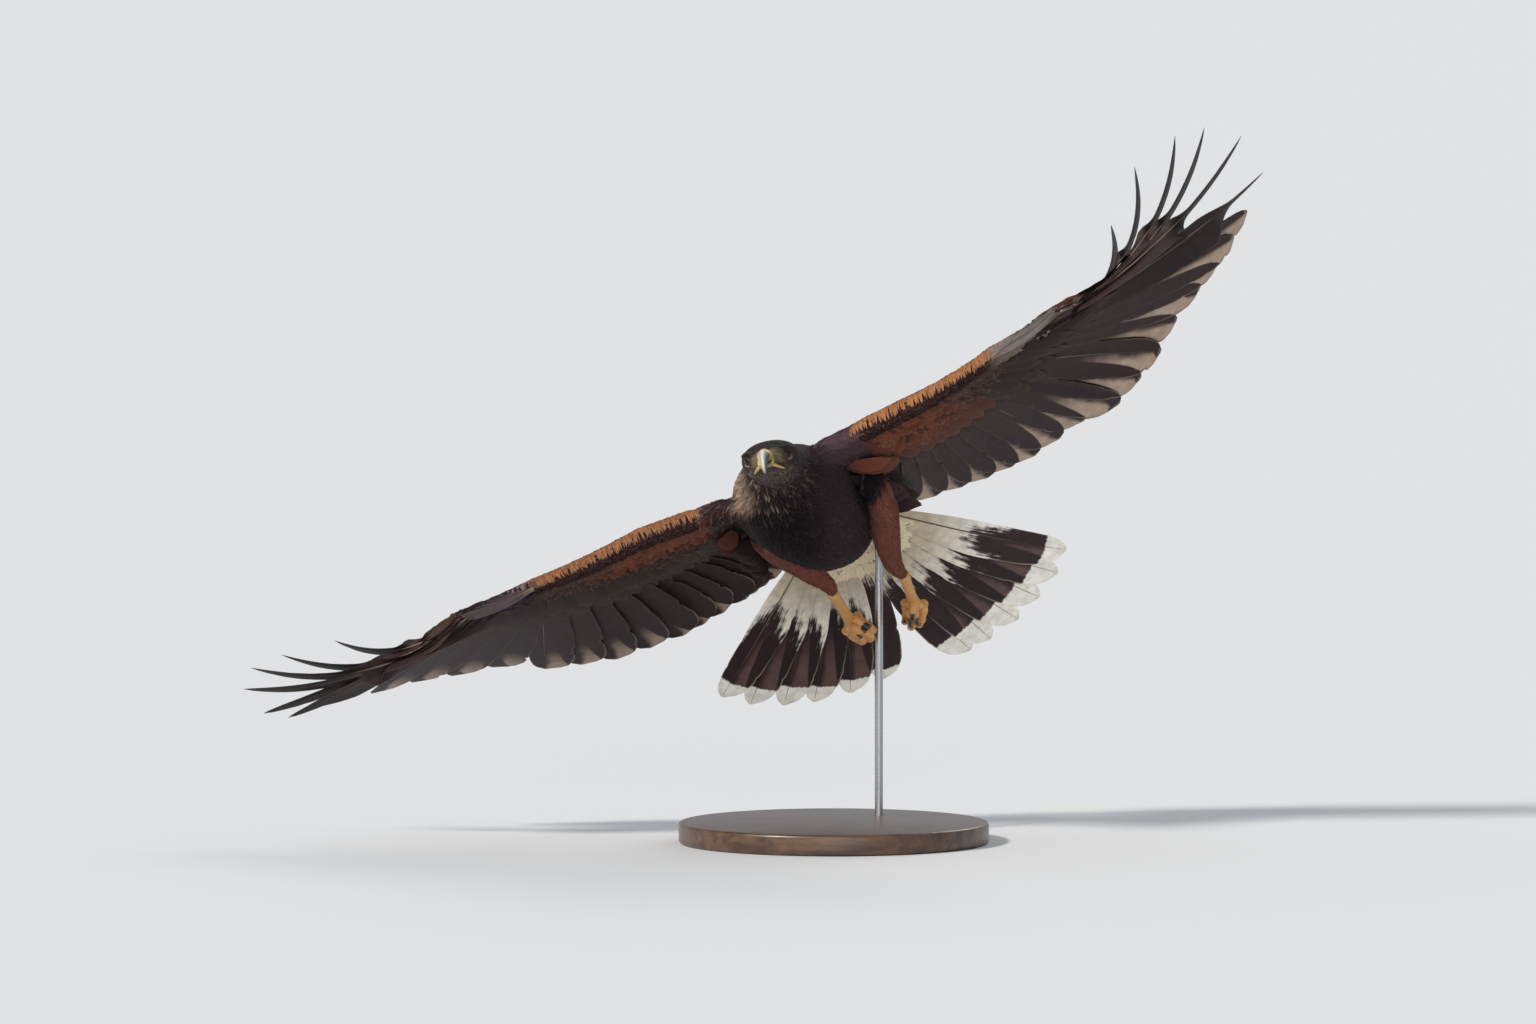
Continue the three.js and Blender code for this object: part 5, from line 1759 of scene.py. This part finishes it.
def scale_look():
    """Yellow-orange skin of tarsus and toes, in small scales."""
    look = Look("scales", roughness=0.5, Specular_IOR_Level=0.45)
    inputs = {"Vector": look.place(), "Scale": 620.0}
    cells = look.node("TexVoronoi", inputs, feature="DISTANCE_TO_EDGE")
    edge = look.step(cells.outputs["Distance"], 0.0, 0.16)
    soft = look.noise(160.0, 4.0)
    skin = look.mix(look.step(soft, 0.3, 0.7), (0.60, 0.30, 0.09, 1.0), (0.72, 0.39, 0.14, 1.0))
    look.paint(look.mix(edge, (0.53, 0.25, 0.075, 1.0), skin))
    look.bump(edge, 0.0002, 0.4)
    return look.material


def wood_look():
    look = Look("wood", roughness=0.38, Coat_Weight=0.3, Coat_Roughness=0.25)
    stretch = look.node("Mapping", {"Vector": look.place(), "Scale": (6.0, 60.0, 60.0)}).outputs[0]
    grain = look.noise(1.6, 6.0, stretch, 0.65)
    fine = look.noise(9.0, 4.0, stretch, 0.7)
    dark = look.mix(look.step(grain, 0.35, 0.65), (0.045, 0.022, 0.012, 1.0), (0.110, 0.055, 0.028, 1.0))
    look.paint(look.mix(look.step(fine, 0.45, 0.75, 0.0, 0.5), dark, (0.030, 0.015, 0.009, 1.0)))
    look.bump(fine, 0.0002, 0.3)
    return look.material


def steel_look():
    look = Look("steel", roughness=0.3, Metallic=1.0)
    stretch = look.node("Mapping", {"Vector": look.place(), "Scale": (30.0, 30.0, 900.0)}).outputs[0]
    brushed = look.noise(3.0, 3.0, stretch)
    look.paint(look.mix(brushed, (0.34, 0.34, 0.35, 1.0), (0.50, 0.50, 0.51, 1.0)))
    look.feed(look.shader.inputs["Roughness"], look.step(brushed, 0.3, 0.7, 0.24, 0.4))
    return look.material


# Rings of the bill: distance ahead of the eyes, height, half-width, top and bottom, and for the upper
# half the degrees by which the ring leans over.
UPPER_BILL = [
    (19.5, -0.2, 8.0, 6.0, -5.8, 0), (23.5, 0.2, 7.5, 6.7, -6.2, 3), (26.3, -0.2, 6.8, 6.7, -6.5, 8),
    (29.6, -1.4, 6.0, 6.2, -6.2, 18), (33.2, -4.2, 4.9, 5.5, -5.5, 36), (36, -8.6, 3.7, 4.6, -4.8, 58),
    (37.2, -13.6, 2.4, 3.3, -3.5, 82), (36.5, -18.2, 0.9, 1.4, -1.4, 100),
    (36, -19.6, 0.3, 0.45, -0.45, 104),
]
LOWER_BILL = [
    (19.5, -8.7, 6.0, 1.8, -2.6), (24, -9.2, 4.6, 1.8, -2.4), (27.5, -9.6, 3.3, 1.6, -2.0),
    (30, -9.8, 2.1, 1.3, -1.4), (31.6, -9.9, 0.8, 0.5, -0.6),
]
# The cere ends this far ahead of the eyes.
CERE_END = 29.0
SIDES = ((1, "left"), (-1, "right"))


def build_upper_bill(material):
    keys = refine(UPPER_BILL, 5)
    sides = 28
    rings = []
    for ahead, height, width, top, bottom, lean in keys:
        a = math.radians(lean)
        up = (0, -math.sin(a), math.cos(a))
        rings.append(ring((0, -ahead, height), (1, 0, 0), up, width, top, bottom, sides, 1.22))
    rings = np.array(rings)
    angle = np.arange(sides) / sides * 2 * np.pi
    share = np.linspace(0, 1, len(keys))[:, None] + 0 * angle
    # The ridge is pale, and the bird's right side of the bill is painted pale as painted light.
    ridge_and_lit_side = np.maximum(np.clip(np.sin(angle), 0, 1) ** 6, 0.75 * smooth(0.3, 0.9, -np.cos(angle)))
    border = CERE_END + 0.8 * np.sin(angle[None]) + 0 * share
    values = {
        "cere": (1 - smooth(-0.5, 0.5, -rings[..., 1] - border)).ravel(),
        "pale_and_painted_light": (ridge_and_lit_side[None] + 0 * share).ravel(),
        "tip": smooth(0.62, 0.98, share).ravel(),
    }
    dress(add_loft("bill_horn", from_head(rings), values), material, ("bill_upper",))


def build_lower_bill(material):
    rings = []
    for ahead, height, width, top, bottom in refine(LOWER_BILL, 4):
        rings.append(ring((0, -ahead, height), (1, 0, 0), (0, 0, 1), width, top, bottom, 20))
    ahead = -np.array(rings)[..., 1].ravel()
    values = {
        "cere": 1 - smooth(23.5, 25.5, ahead),
        "pale_and_painted_light": np.full(len(ahead), 0.25),
        "tip": 0.5 * smooth(28, 31, ahead),
    }
    dress(add_loft("bill_under", from_head(rings), values), material, ("bill_lower",))


# Radius along the lip, from under the nostril back to its end.
LIP_RADII = ((0, 0.6), (0.25, 1.9), (0.45, 2.4), (0.6, 2.1), (0.88, 1.1), (1, 0.3))


def build_gape(material):
    """Yellow lip that runs back from the bill below each eye."""
    for side, name in SIDES:
        line = bezier((side * 6.4, -24, -8.6), (side * 12.5, -20, -11.6), (side * 17.2, -6, -14.4),
                      np.linspace(0, 1, 14))
        line = line + np.array([-side * 1.5, 1.2, 0])
        rim = bezier((side * 6.2, -19.5, -1.0), (side * 6.9, -22.4, -6.2), (side * 5.6, -22.9, -8.4),
                     np.linspace(0, 1, 12))
        line = np.concatenate([rim[:-1], line])
        radii = column(LIP_RADII, np.linspace(0, 1, len(line)))
        piece = add_loft("gape_" + name, from_head(tube_rings(line, radii, 12, flat=0.7)))
        dress(piece, material)


# Each nostril is a small near-black tube on the cere, a painted shade for the opening.
def build_nostrils(material):
    for side, name in SIDES:
        line = np.array([(side * 5.9, -22.8, 2.6), (side * 5.8, -23.6, 2.8), (side * 5.6, -24.4, 2.9)])
        radii = (0.3, 0.6, 0.75, 0.8, 0.75, 0.6, 0.3)
        piece = add_loft("nostril_" + name, from_head(tube_rings(refine(line, 3), radii, 10)))
        dress(piece, material)


def eye_axes(side):
    forward = unit(np.array([side * math.sin(math.radians(38)), -math.cos(math.radians(38)), -0.08]))
    outside = unit(np.cross(forward, (0, 0, 1))) * -side
    above = unit(np.cross(outside, forward))
    if above[2] < 0:
        above = -above
    return forward, outside, above


def build_lids(name, centre, forward, outside, above, lid):
    """Rim of the lids and the fold behind it, as two closed rings round an eye."""
    many, sides = 48, 10
    phi = np.arange(many)[:, None] / many * 2 * np.pi
    turn = (np.arange(sides) / sides * 2 * np.pi)[None, :, None]
    for label, lids, thick, pale in (("rim", 0.84, 0.42, 1.0), ("fold", 0.98, 0.62, 0.45)):
        # The upper lid is nearly straight under the brow and the lower one is round.
        opening = lids - 0.34 * smooth(0.1, 0.9, np.sin(phi))
        ray = np.cos(opening) * forward + np.sin(opening) * (np.cos(phi) * outside + np.sin(phi) * above)
        line = centre + ray * (EYE_RADIUS + 0.25)
        radial = unit(ray)
        across = np.cross(radial, unit(np.roll(line, -1, 0) - np.roll(line, 1, 0)))
        rings = line[:, None] + thick * (np.cos(turn) * radial[:, None] + np.sin(turn) * across[:, None])
        ids = np.arange(many * sides).reshape(many, sides)
        beside = np.roll(ids, -1, 1)
        quads = np.stack([ids, beside, np.roll(beside, -1, 0), np.roll(ids, -1, 0)], -1).reshape(-1, 4)
        # The lower lid is pale: partly pale skin and partly a painted highlight on the rim.
        light = (1 - smooth(-0.8, -0.25, np.sin(phi[:, 0]))) * pale
        values = {"below": np.repeat(light, sides)}
        piece = add_mesh(f"lid_{label}_{name}", from_head(rings.reshape(-1, 3)), [quads], values=values)
        outward(piece)
        dress(piece, lid)


def build_eyes(eye, lid):
    for side, name in SIDES:
        centre = np.array([side * EYE_SIDE, -EYE_AHEAD, 0.0])
        forward, outside, above = eye_axes(side)
        ball, points = add_sphere(48, 32)
        ball.name = "eyeball_" + name
        turn = np.arccos(np.clip(points[:, 2], -1, 1))
        bulge = 1 + 0.05 * (1 - smooth(0.2, 0.75, turn))
        placed = centre + EYE_RADIUS * bulge[:, None] * (points @ np.stack([outside, above, forward]))
        ball.data.vertices.foreach_set("co", to_world(from_head(placed)).ravel())
        ball.data.attributes.new("turn", "FLOAT", "POINT").data.foreach_set("value", turn.astype(np.float32))
        ball.data.polygons.foreach_set("use_smooth", np.ones(len(ball.data.polygons), bool))
        outward(ball)
        dress(ball, eye, ("eye_" + name,))
        build_lids(name, centre, forward, outside, above, lid)


def lid_look():
    """Dark skin round the eye, pale tan along the lower lid: partly pale skin, partly a painted highlight.
    """
    look = Look("lid", roughness=0.7, Specular_IOR_Level=0.15)
    fine = look.noise(900.0, 4.0)
    dark = look.mix(fine, (0.020, 0.014, 0.013, 1.0), (0.050, 0.036, 0.030, 1.0))
    look.paint(look.mix(look.product(look.value("below"), 0.85), dark, (0.36, 0.25, 0.16, 1.0)))
    look.bump(fine, 0.0003, 0.5)
    return look.material


# Toes: place across the foot, radius of the curl, reach towards the palm, turn in degrees and thickness.
TOES = {
    "inner": (-9, 10.5, 10, 190, 4.4), "middle": (0, 12.5, 11, 200, 4.6), "outer": (9, 10, 10, 185, 3.9),
}
HALLUX = (-3, 8.5, 10, 125, 4.6)
# Radii of the claws of the toes and of the hind toe.
CLAW_RADII = ((0, 2.4), (0.35, 1.9), (0.7, 1.2), (1, 0.15))
HIND_CLAW_RADII = ((0, 2.6), (0.35, 2.0), (0.7, 1.2), (1, 0.15))


def foot_frame(leg):
    back = unit(np.array(leg["toes"], float) - np.array(leg["hock"], float))
    palm = np.array(leg["fist"], float)
    palm = unit(palm - back * (palm @ back))
    return back, palm, unit(np.cross(back, palm))


def toe_line(leg, toe, turns):
    side, curl, reach, _, _ = toe
    back, palm, across = foot_frame(leg)
    a = np.radians(turns)[:, None]
    centre = np.array(leg["toes"], float) + back * 6 + palm * reach
    beyond = np.clip((np.asarray(turns)[:, None] - toe[3] - leg["curl"]) / 76, 0, 1)
    curl = curl * (1 - leg["tuck"] * beyond)
    inward = side * (1 - 0.25 * np.minimum(1, np.asarray(turns)[:, None] / 180))
    return centre + np.sin(a) * curl * back - np.cos(a) * curl * palm + inward * across


def hind_line(leg, turns):
    side, curl, reach, _, _ = HALLUX
    back, palm, across = foot_frame(leg)
    a = np.radians(turns)[:, None]
    return (np.array(leg["toes"], float) + back * (-1 - np.sin(a) * curl)
            + palm * (reach - np.cos(a) * curl * 1.15) + across * side)


def fist_pads(leg):
    """Ball of the foot, and the flesh that the toes close on."""
    back, palm, across = foot_frame(leg)
    toes = np.array(leg["toes"], float)
    ball, points = add_sphere(24, 16)
    placed = toes + back * 5 + palm * 1.5 + points * (10.2, 7, 6) @ np.stack([across, back, palm])
    ball.data.vertices.foreach_set("co", to_world(placed).ravel())
    outward(ball)
    bpy.ops.mesh.primitive_uv_sphere_add(segments=24, ring_count=16, radius=leg["pad"] * MM)
    grip = bpy.context.object
    grip.location = Vector(to_world(toes + back * 6 + palm * 10.5).tolist())
    bpy.ops.object.transform_apply(location=True)
    return [ball, grip]


def build_claw(leg, label, line, radii, across, talon):
    name = f"{leg['name']}_{label}"
    piece = add_loft("claw_" + name, tube_rings(line, radii, 14, hint=across))
    dress(piece, talon, ("talon_" + name,))


def build_leg(leg, scales, talon):
    name = leg["name"]
    across = foot_frame(leg)[2]
    hock, toes = np.array(leg["hock"], float), np.array(leg["toes"], float)
    t = np.linspace(0, 1, 44)
    radii = np.interp(t, (0, 0.12, 0.3, 0.75, 1), (5.5, 5.4, 4.9, 5.0, 6.2))
    radii = radii * (1 + 0.035 * np.abs(np.sin(t * 44)))
    shank = add_loft("shank_" + name, tube_rings(hock + (toes - hock) * t[:, None], radii, 20, hint=across))
    dress(shank, scales, ("tarsus_" + name,))
    parts = fist_pads(leg)
    for label, toe in TOES.items():
        last = toe[3] + leg["curl"]
        share = np.linspace(0, 1, 40)
        joints = 1 + 0.10 * np.cos(share * 2 * np.pi * 3) + 0.03 * np.cos(share * 2 * np.pi * 14)
        radii = 1.1 * toe[4] * np.interp(share, (0, 0.5, 1), (1, 0.92, 0.75)) * joints
        line = toe_line(leg, toe, np.linspace(0, last, 40))
        parts.append(add_loft("toe", tube_rings(line, radii, 16, hint=across)))
        radii = column(CLAW_RADII, np.linspace(0, 1, 24)) * (1 - 0.35 * leg["tuck"])
        line = toe_line(leg, toe, np.linspace(last - 4, last + 76, 24))
        build_claw(leg, label, line, radii, across, talon)
    last = HALLUX[3]
    radii = np.linspace(HALLUX[4], 3.5, 30)
    line = hind_line(leg, np.linspace(20, last, 30))
    parts.append(add_loft("toe", tube_rings(line, radii, 16, hint=across)))
    line = hind_line(leg, np.linspace(last - 2, last + 96, 24))
    build_claw(leg, "hind", line, column(HIND_CLAW_RADII, np.linspace(0, 1, 24)), across, talon)
    foot = fuse(parts, "fist_" + name, FOOT_VOXEL, 4)
    dress(foot, scales, ("foot_" + name,))


# The stand, in metres. The rod ends a little below the top of its node, inside the tail's root.
BASE_RADIUS = 0.150
BASE_HEIGHT = 0.020
BASE_EDGE = 0.003
ROD_RADIUS = 0.004
ROD_AT = (0.044, 0.073)
ROD_GAP = 0.002


def add_cylinder(name, vertices, radius, low, high, at=(0, 0)):
    """An upright cylinder between two heights."""
    bpy.ops.mesh.primitive_cylinder_add(vertices=vertices, radius=radius, depth=high - low,
                                        location=(*at, (low + high) / 2))
    piece = bpy.context.object
    piece.name = name
    bpy.ops.object.transform_apply(location=True)
    return piece


def build_stand():
    base = add_cylinder("stand_foot", 160, BASE_RADIUS, 0, BASE_HEIGHT)
    bevel = base.modifiers.new("edge", "BEVEL")
    bevel.width = BASE_EDGE
    bevel.segments = 4
    bevel.limit_method = "ANGLE"
    bpy.ops.object.modifier_apply(modifier="edge")
    bpy.ops.object.shade_smooth_by_angle(angle=math.radians(30))
    dress(base, wood_look(), ("stand_base",))
    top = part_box("stand_rod")[1].z - ROD_GAP
    rod = add_cylinder("stand_post", 48, ROD_RADIUS, BASE_HEIGHT, top, ROD_AT)
    bpy.ops.object.shade_smooth_by_angle(angle=math.radians(40))
    dress(rod, steel_look(), ("stand_rod",))


# The camera stands at the photograph's angle, far off, so that the picture's width spans 1.475 m at
# the bird.
CAMERA_RISE = 4
CAMERA_FAR = 16.0
SENSOR_WIDTH = 36
CAMERA_LENS = SENSOR_WIDTH * CAMERA_FAR / 1.4746
FRAME_RIGHT = -0.0086
FRAME_UP = -0.0394
WORLD_LIGHT = 0.5
# Each light: the direction it comes from, its apparent size in degrees, strength and colour.
LIGHTS = (
    ("key", (-0.66, -0.60, 0.62), 8, 3.5, (1.0, 0.95, 0.87)),
    ("front", (0.05, -1.0, 0.05), 40, 1.0, (1.0, 0.98, 0.95)),
    ("back", (0.5, 0.9, 0.8), 25, 0.7, (1.0, 0.97, 0.93)),
)


def build_studio():
    """Pale floor, soft light and the camera of the photograph."""
    bpy.ops.mesh.primitive_circle_add(vertices=96, radius=90, fill_type="NGON", location=(0, 0, -0.0005))
    floor = bpy.context.object
    floor.name = "floor"
    look = Look("floor", roughness=0.9)
    look.paint((0.60, 0.61, 0.63, 1.0))
    floor.data.materials.append(look.material)
    world = bpy.data.worlds.new("studio")
    bpy.context.scene.world = world
    world.use_nodes = True
    world.node_tree.nodes["Background"].inputs["Color"].default_value = (0.86, 0.92, 1.0, 1.0)
    world.node_tree.nodes["Background"].inputs["Strength"].default_value = WORLD_LIGHT
    for name, toward, spread, strength, colour in LIGHTS:
        data = bpy.data.lights.new(name, "SUN")
        data.angle = math.radians(spread)
        data.energy = strength
        data.color = colour
        lamp = bpy.data.objects.new(name, data)
        bpy.context.scene.collection.objects.link(lamp)
        lamp.rotation_euler = Vector(toward).to_track_quat("Z", "Y").to_euler()
    data = bpy.data.cameras.new("camera")
    data.sensor_width = SENSOR_WIDTH
    data.lens = CAMERA_LENS
    data.clip_end = 400
    camera = bpy.data.objects.new("camera", data)
    bpy.context.scene.collection.objects.link(camera)
    rise = math.radians(CAMERA_RISE)
    toward = np.array([0, math.cos(rise), -math.sin(rise)])
    above = np.array([0, math.sin(rise), math.cos(rise)])
    middle = SHOULDERS * MM + np.array([1, 0, 0]) * FRAME_RIGHT + above * FRAME_UP
    camera.location = middle - toward * CAMERA_FAR
    camera.rotation_euler = (math.radians(90 - CAMERA_RISE), 0, 0)
    bpy.context.scene.camera = camera
    bpy.context.scene.view_settings.view_transform = "Standard"


def build_coat(surface, coat):
    rng = np.random.default_rng(2025)
    places, length = body_coat(surface, rng)
    thigh, _ = on_thigh(places)
    lift = 0.075 + 0.13 * thigh
    lines, normals, bakes = march(surface, places, length, 6, lift, -0.1)
    shades, fringes = coat_colours(rng, places)
    q = to_head(places)
    neck = smooth(0, 14, q[:, 1]) * (1 - smooth(60, 90, q[:, 1]))
    narrow = (1 - 0.32 * neck) * (1 - 0.3 * (1 - smooth(-8, 6, q[:, 1])))
    widths = length * rng.uniform(0.33, 0.44, len(length)) * narrow + 0.22
    face = q[:, 1] < 34
    pale = (shades @ np.array([0.3, 0.6, 0.1])) > 0.35
    rufous = (thigh > 0.5) & ~face
    feathers = (lines, normals, widths, bakes, shades, fringes)
    for name, part, slot in (
        ("coat_head", face, "dark_plumage"),
        ("coat_thighs", rufous, "rufous_plumage"),
        ("coat_vent", pale & ~face & ~rufous, "pale_plumage"),
        ("coat_body", ~face & ~rufous & ~pale, "dark_plumage"),
    ):
        if part.any():
            pieces_of(name, coat, slot, [entry[part] for entry in feathers], rng, fray=0.09, camber=0.1,
                      shape=LANCE_SPREAD, columns=3 if name == "coat_head" else 5)
    for wing in WINGS:
        for upper in (True, False):
            label = ("upper" if upper else "lower") + "_" + wing["name"]
            small = wing_rows(wing, upper, rng, surface)
            pieces_of("coverts_" + label, coat, "rufous_plumage", small, rng, fray=0.04)
            large = greater_coverts(wing, upper, rng, surface)
            pieces_of("greater_" + label, coat, "flight_feather", large, rng, fray=0.015, columns=9,
                      camber=0.1)
        above = scapulars(wing, rng, surface)
        pieces_of("scapulars_" + wing["name"], coat, "dark_plumage", above, rng, fray=0.02, columns=7,
                  camber=0.12)
        soft = axillaries(wing, rng, surface)
        pieces_of("axillaries_" + wing["name"], coat, "rufous_plumage", soft, rng, fray=0.03, columns=7,
                  camber=0.12)
    tail = tail_coverts(rng, surface)
    pieces_of("coat_tail", coat, "pale_plumage", tail, rng, fray=0.04, columns=9, camber=0.08)


def build_bird():
    coat = coat_look()
    skin = build_skin()
    surface = Surface(skin)
    skin_colours = plumage(surface.points)
    q = to_head(surface.points)
    bare = (1 - smooth(-12, -7, q[:, 1])) * (1 - smooth(13, 17, np.abs(q[:, 0])))
    bare = bare * (1 - smooth(5, 8, np.abs(q[:, 2] + 1)))
    skin_colours = blend(skin_colours, LORE_OLIVE, bare)
    layer = skin.data.attributes.new("plume", "FLOAT_COLOR", "POINT")
    skin_colours = np.hstack([skin_colours, np.ones((len(q), 1))])
    layer.data.foreach_set("color", skin_colours.astype(np.float32).ravel())
    dress(skin, skin_look(), (
        "head", "neck", "trunk", "tail_base", "thigh_left", "thigh_right",
        "wing_left_arm", "wing_right_arm"))
    build_coat(surface, coat)
    for wing in WINGS:
        name = wing["name"]
        flight = long_look("flight_" + name, wing["glow"], FLIGHT_RIM)
        nodes = [f"wing_{name}_forearm", f"wing_{name}_hand"]
        nodes += [f"primary_{name}_{k}" for k in range(5, 11)]
        dress(build_remiges(wing), flight, nodes)
        dress(build_alula(wing), flight, (f"alula_{name}",))
    tail = long_look("tail", TAIL_GLOW, TAIL_RIM, barred=True)
    nodes = [f"rectrix_{name}_{k}" for name in ("left", "right") for k in range(1, 7)]
    dress(build_rectrices(), tail, nodes)
    horn = horn_look()
    build_upper_bill(horn)
    build_lower_bill(horn)
    yellow = plain_look("gape", (0.40, 0.27, 0.07), (0.52, 0.38, 0.13), 500.0, 0.5)
    build_gape(yellow)
    # The nostrils are near black, a painted shade for their openings.
    dark = plain_look("nostril", (0.01, 0.008, 0.006), (0.02, 0.015, 0.01), 500.0, 0.8)
    build_nostrils(dark)
    build_eyes(eye_look(), lid_look())
    scales = scale_look()
    talon = plain_look("talon", (0.012, 0.011, 0.012), (0.035, 0.032, 0.033), 350.0, 0.28, coat=0.5)
    for leg in LEGS:
        build_leg(leg, scales, talon)


build_studio()
build_bird()
build_stand()
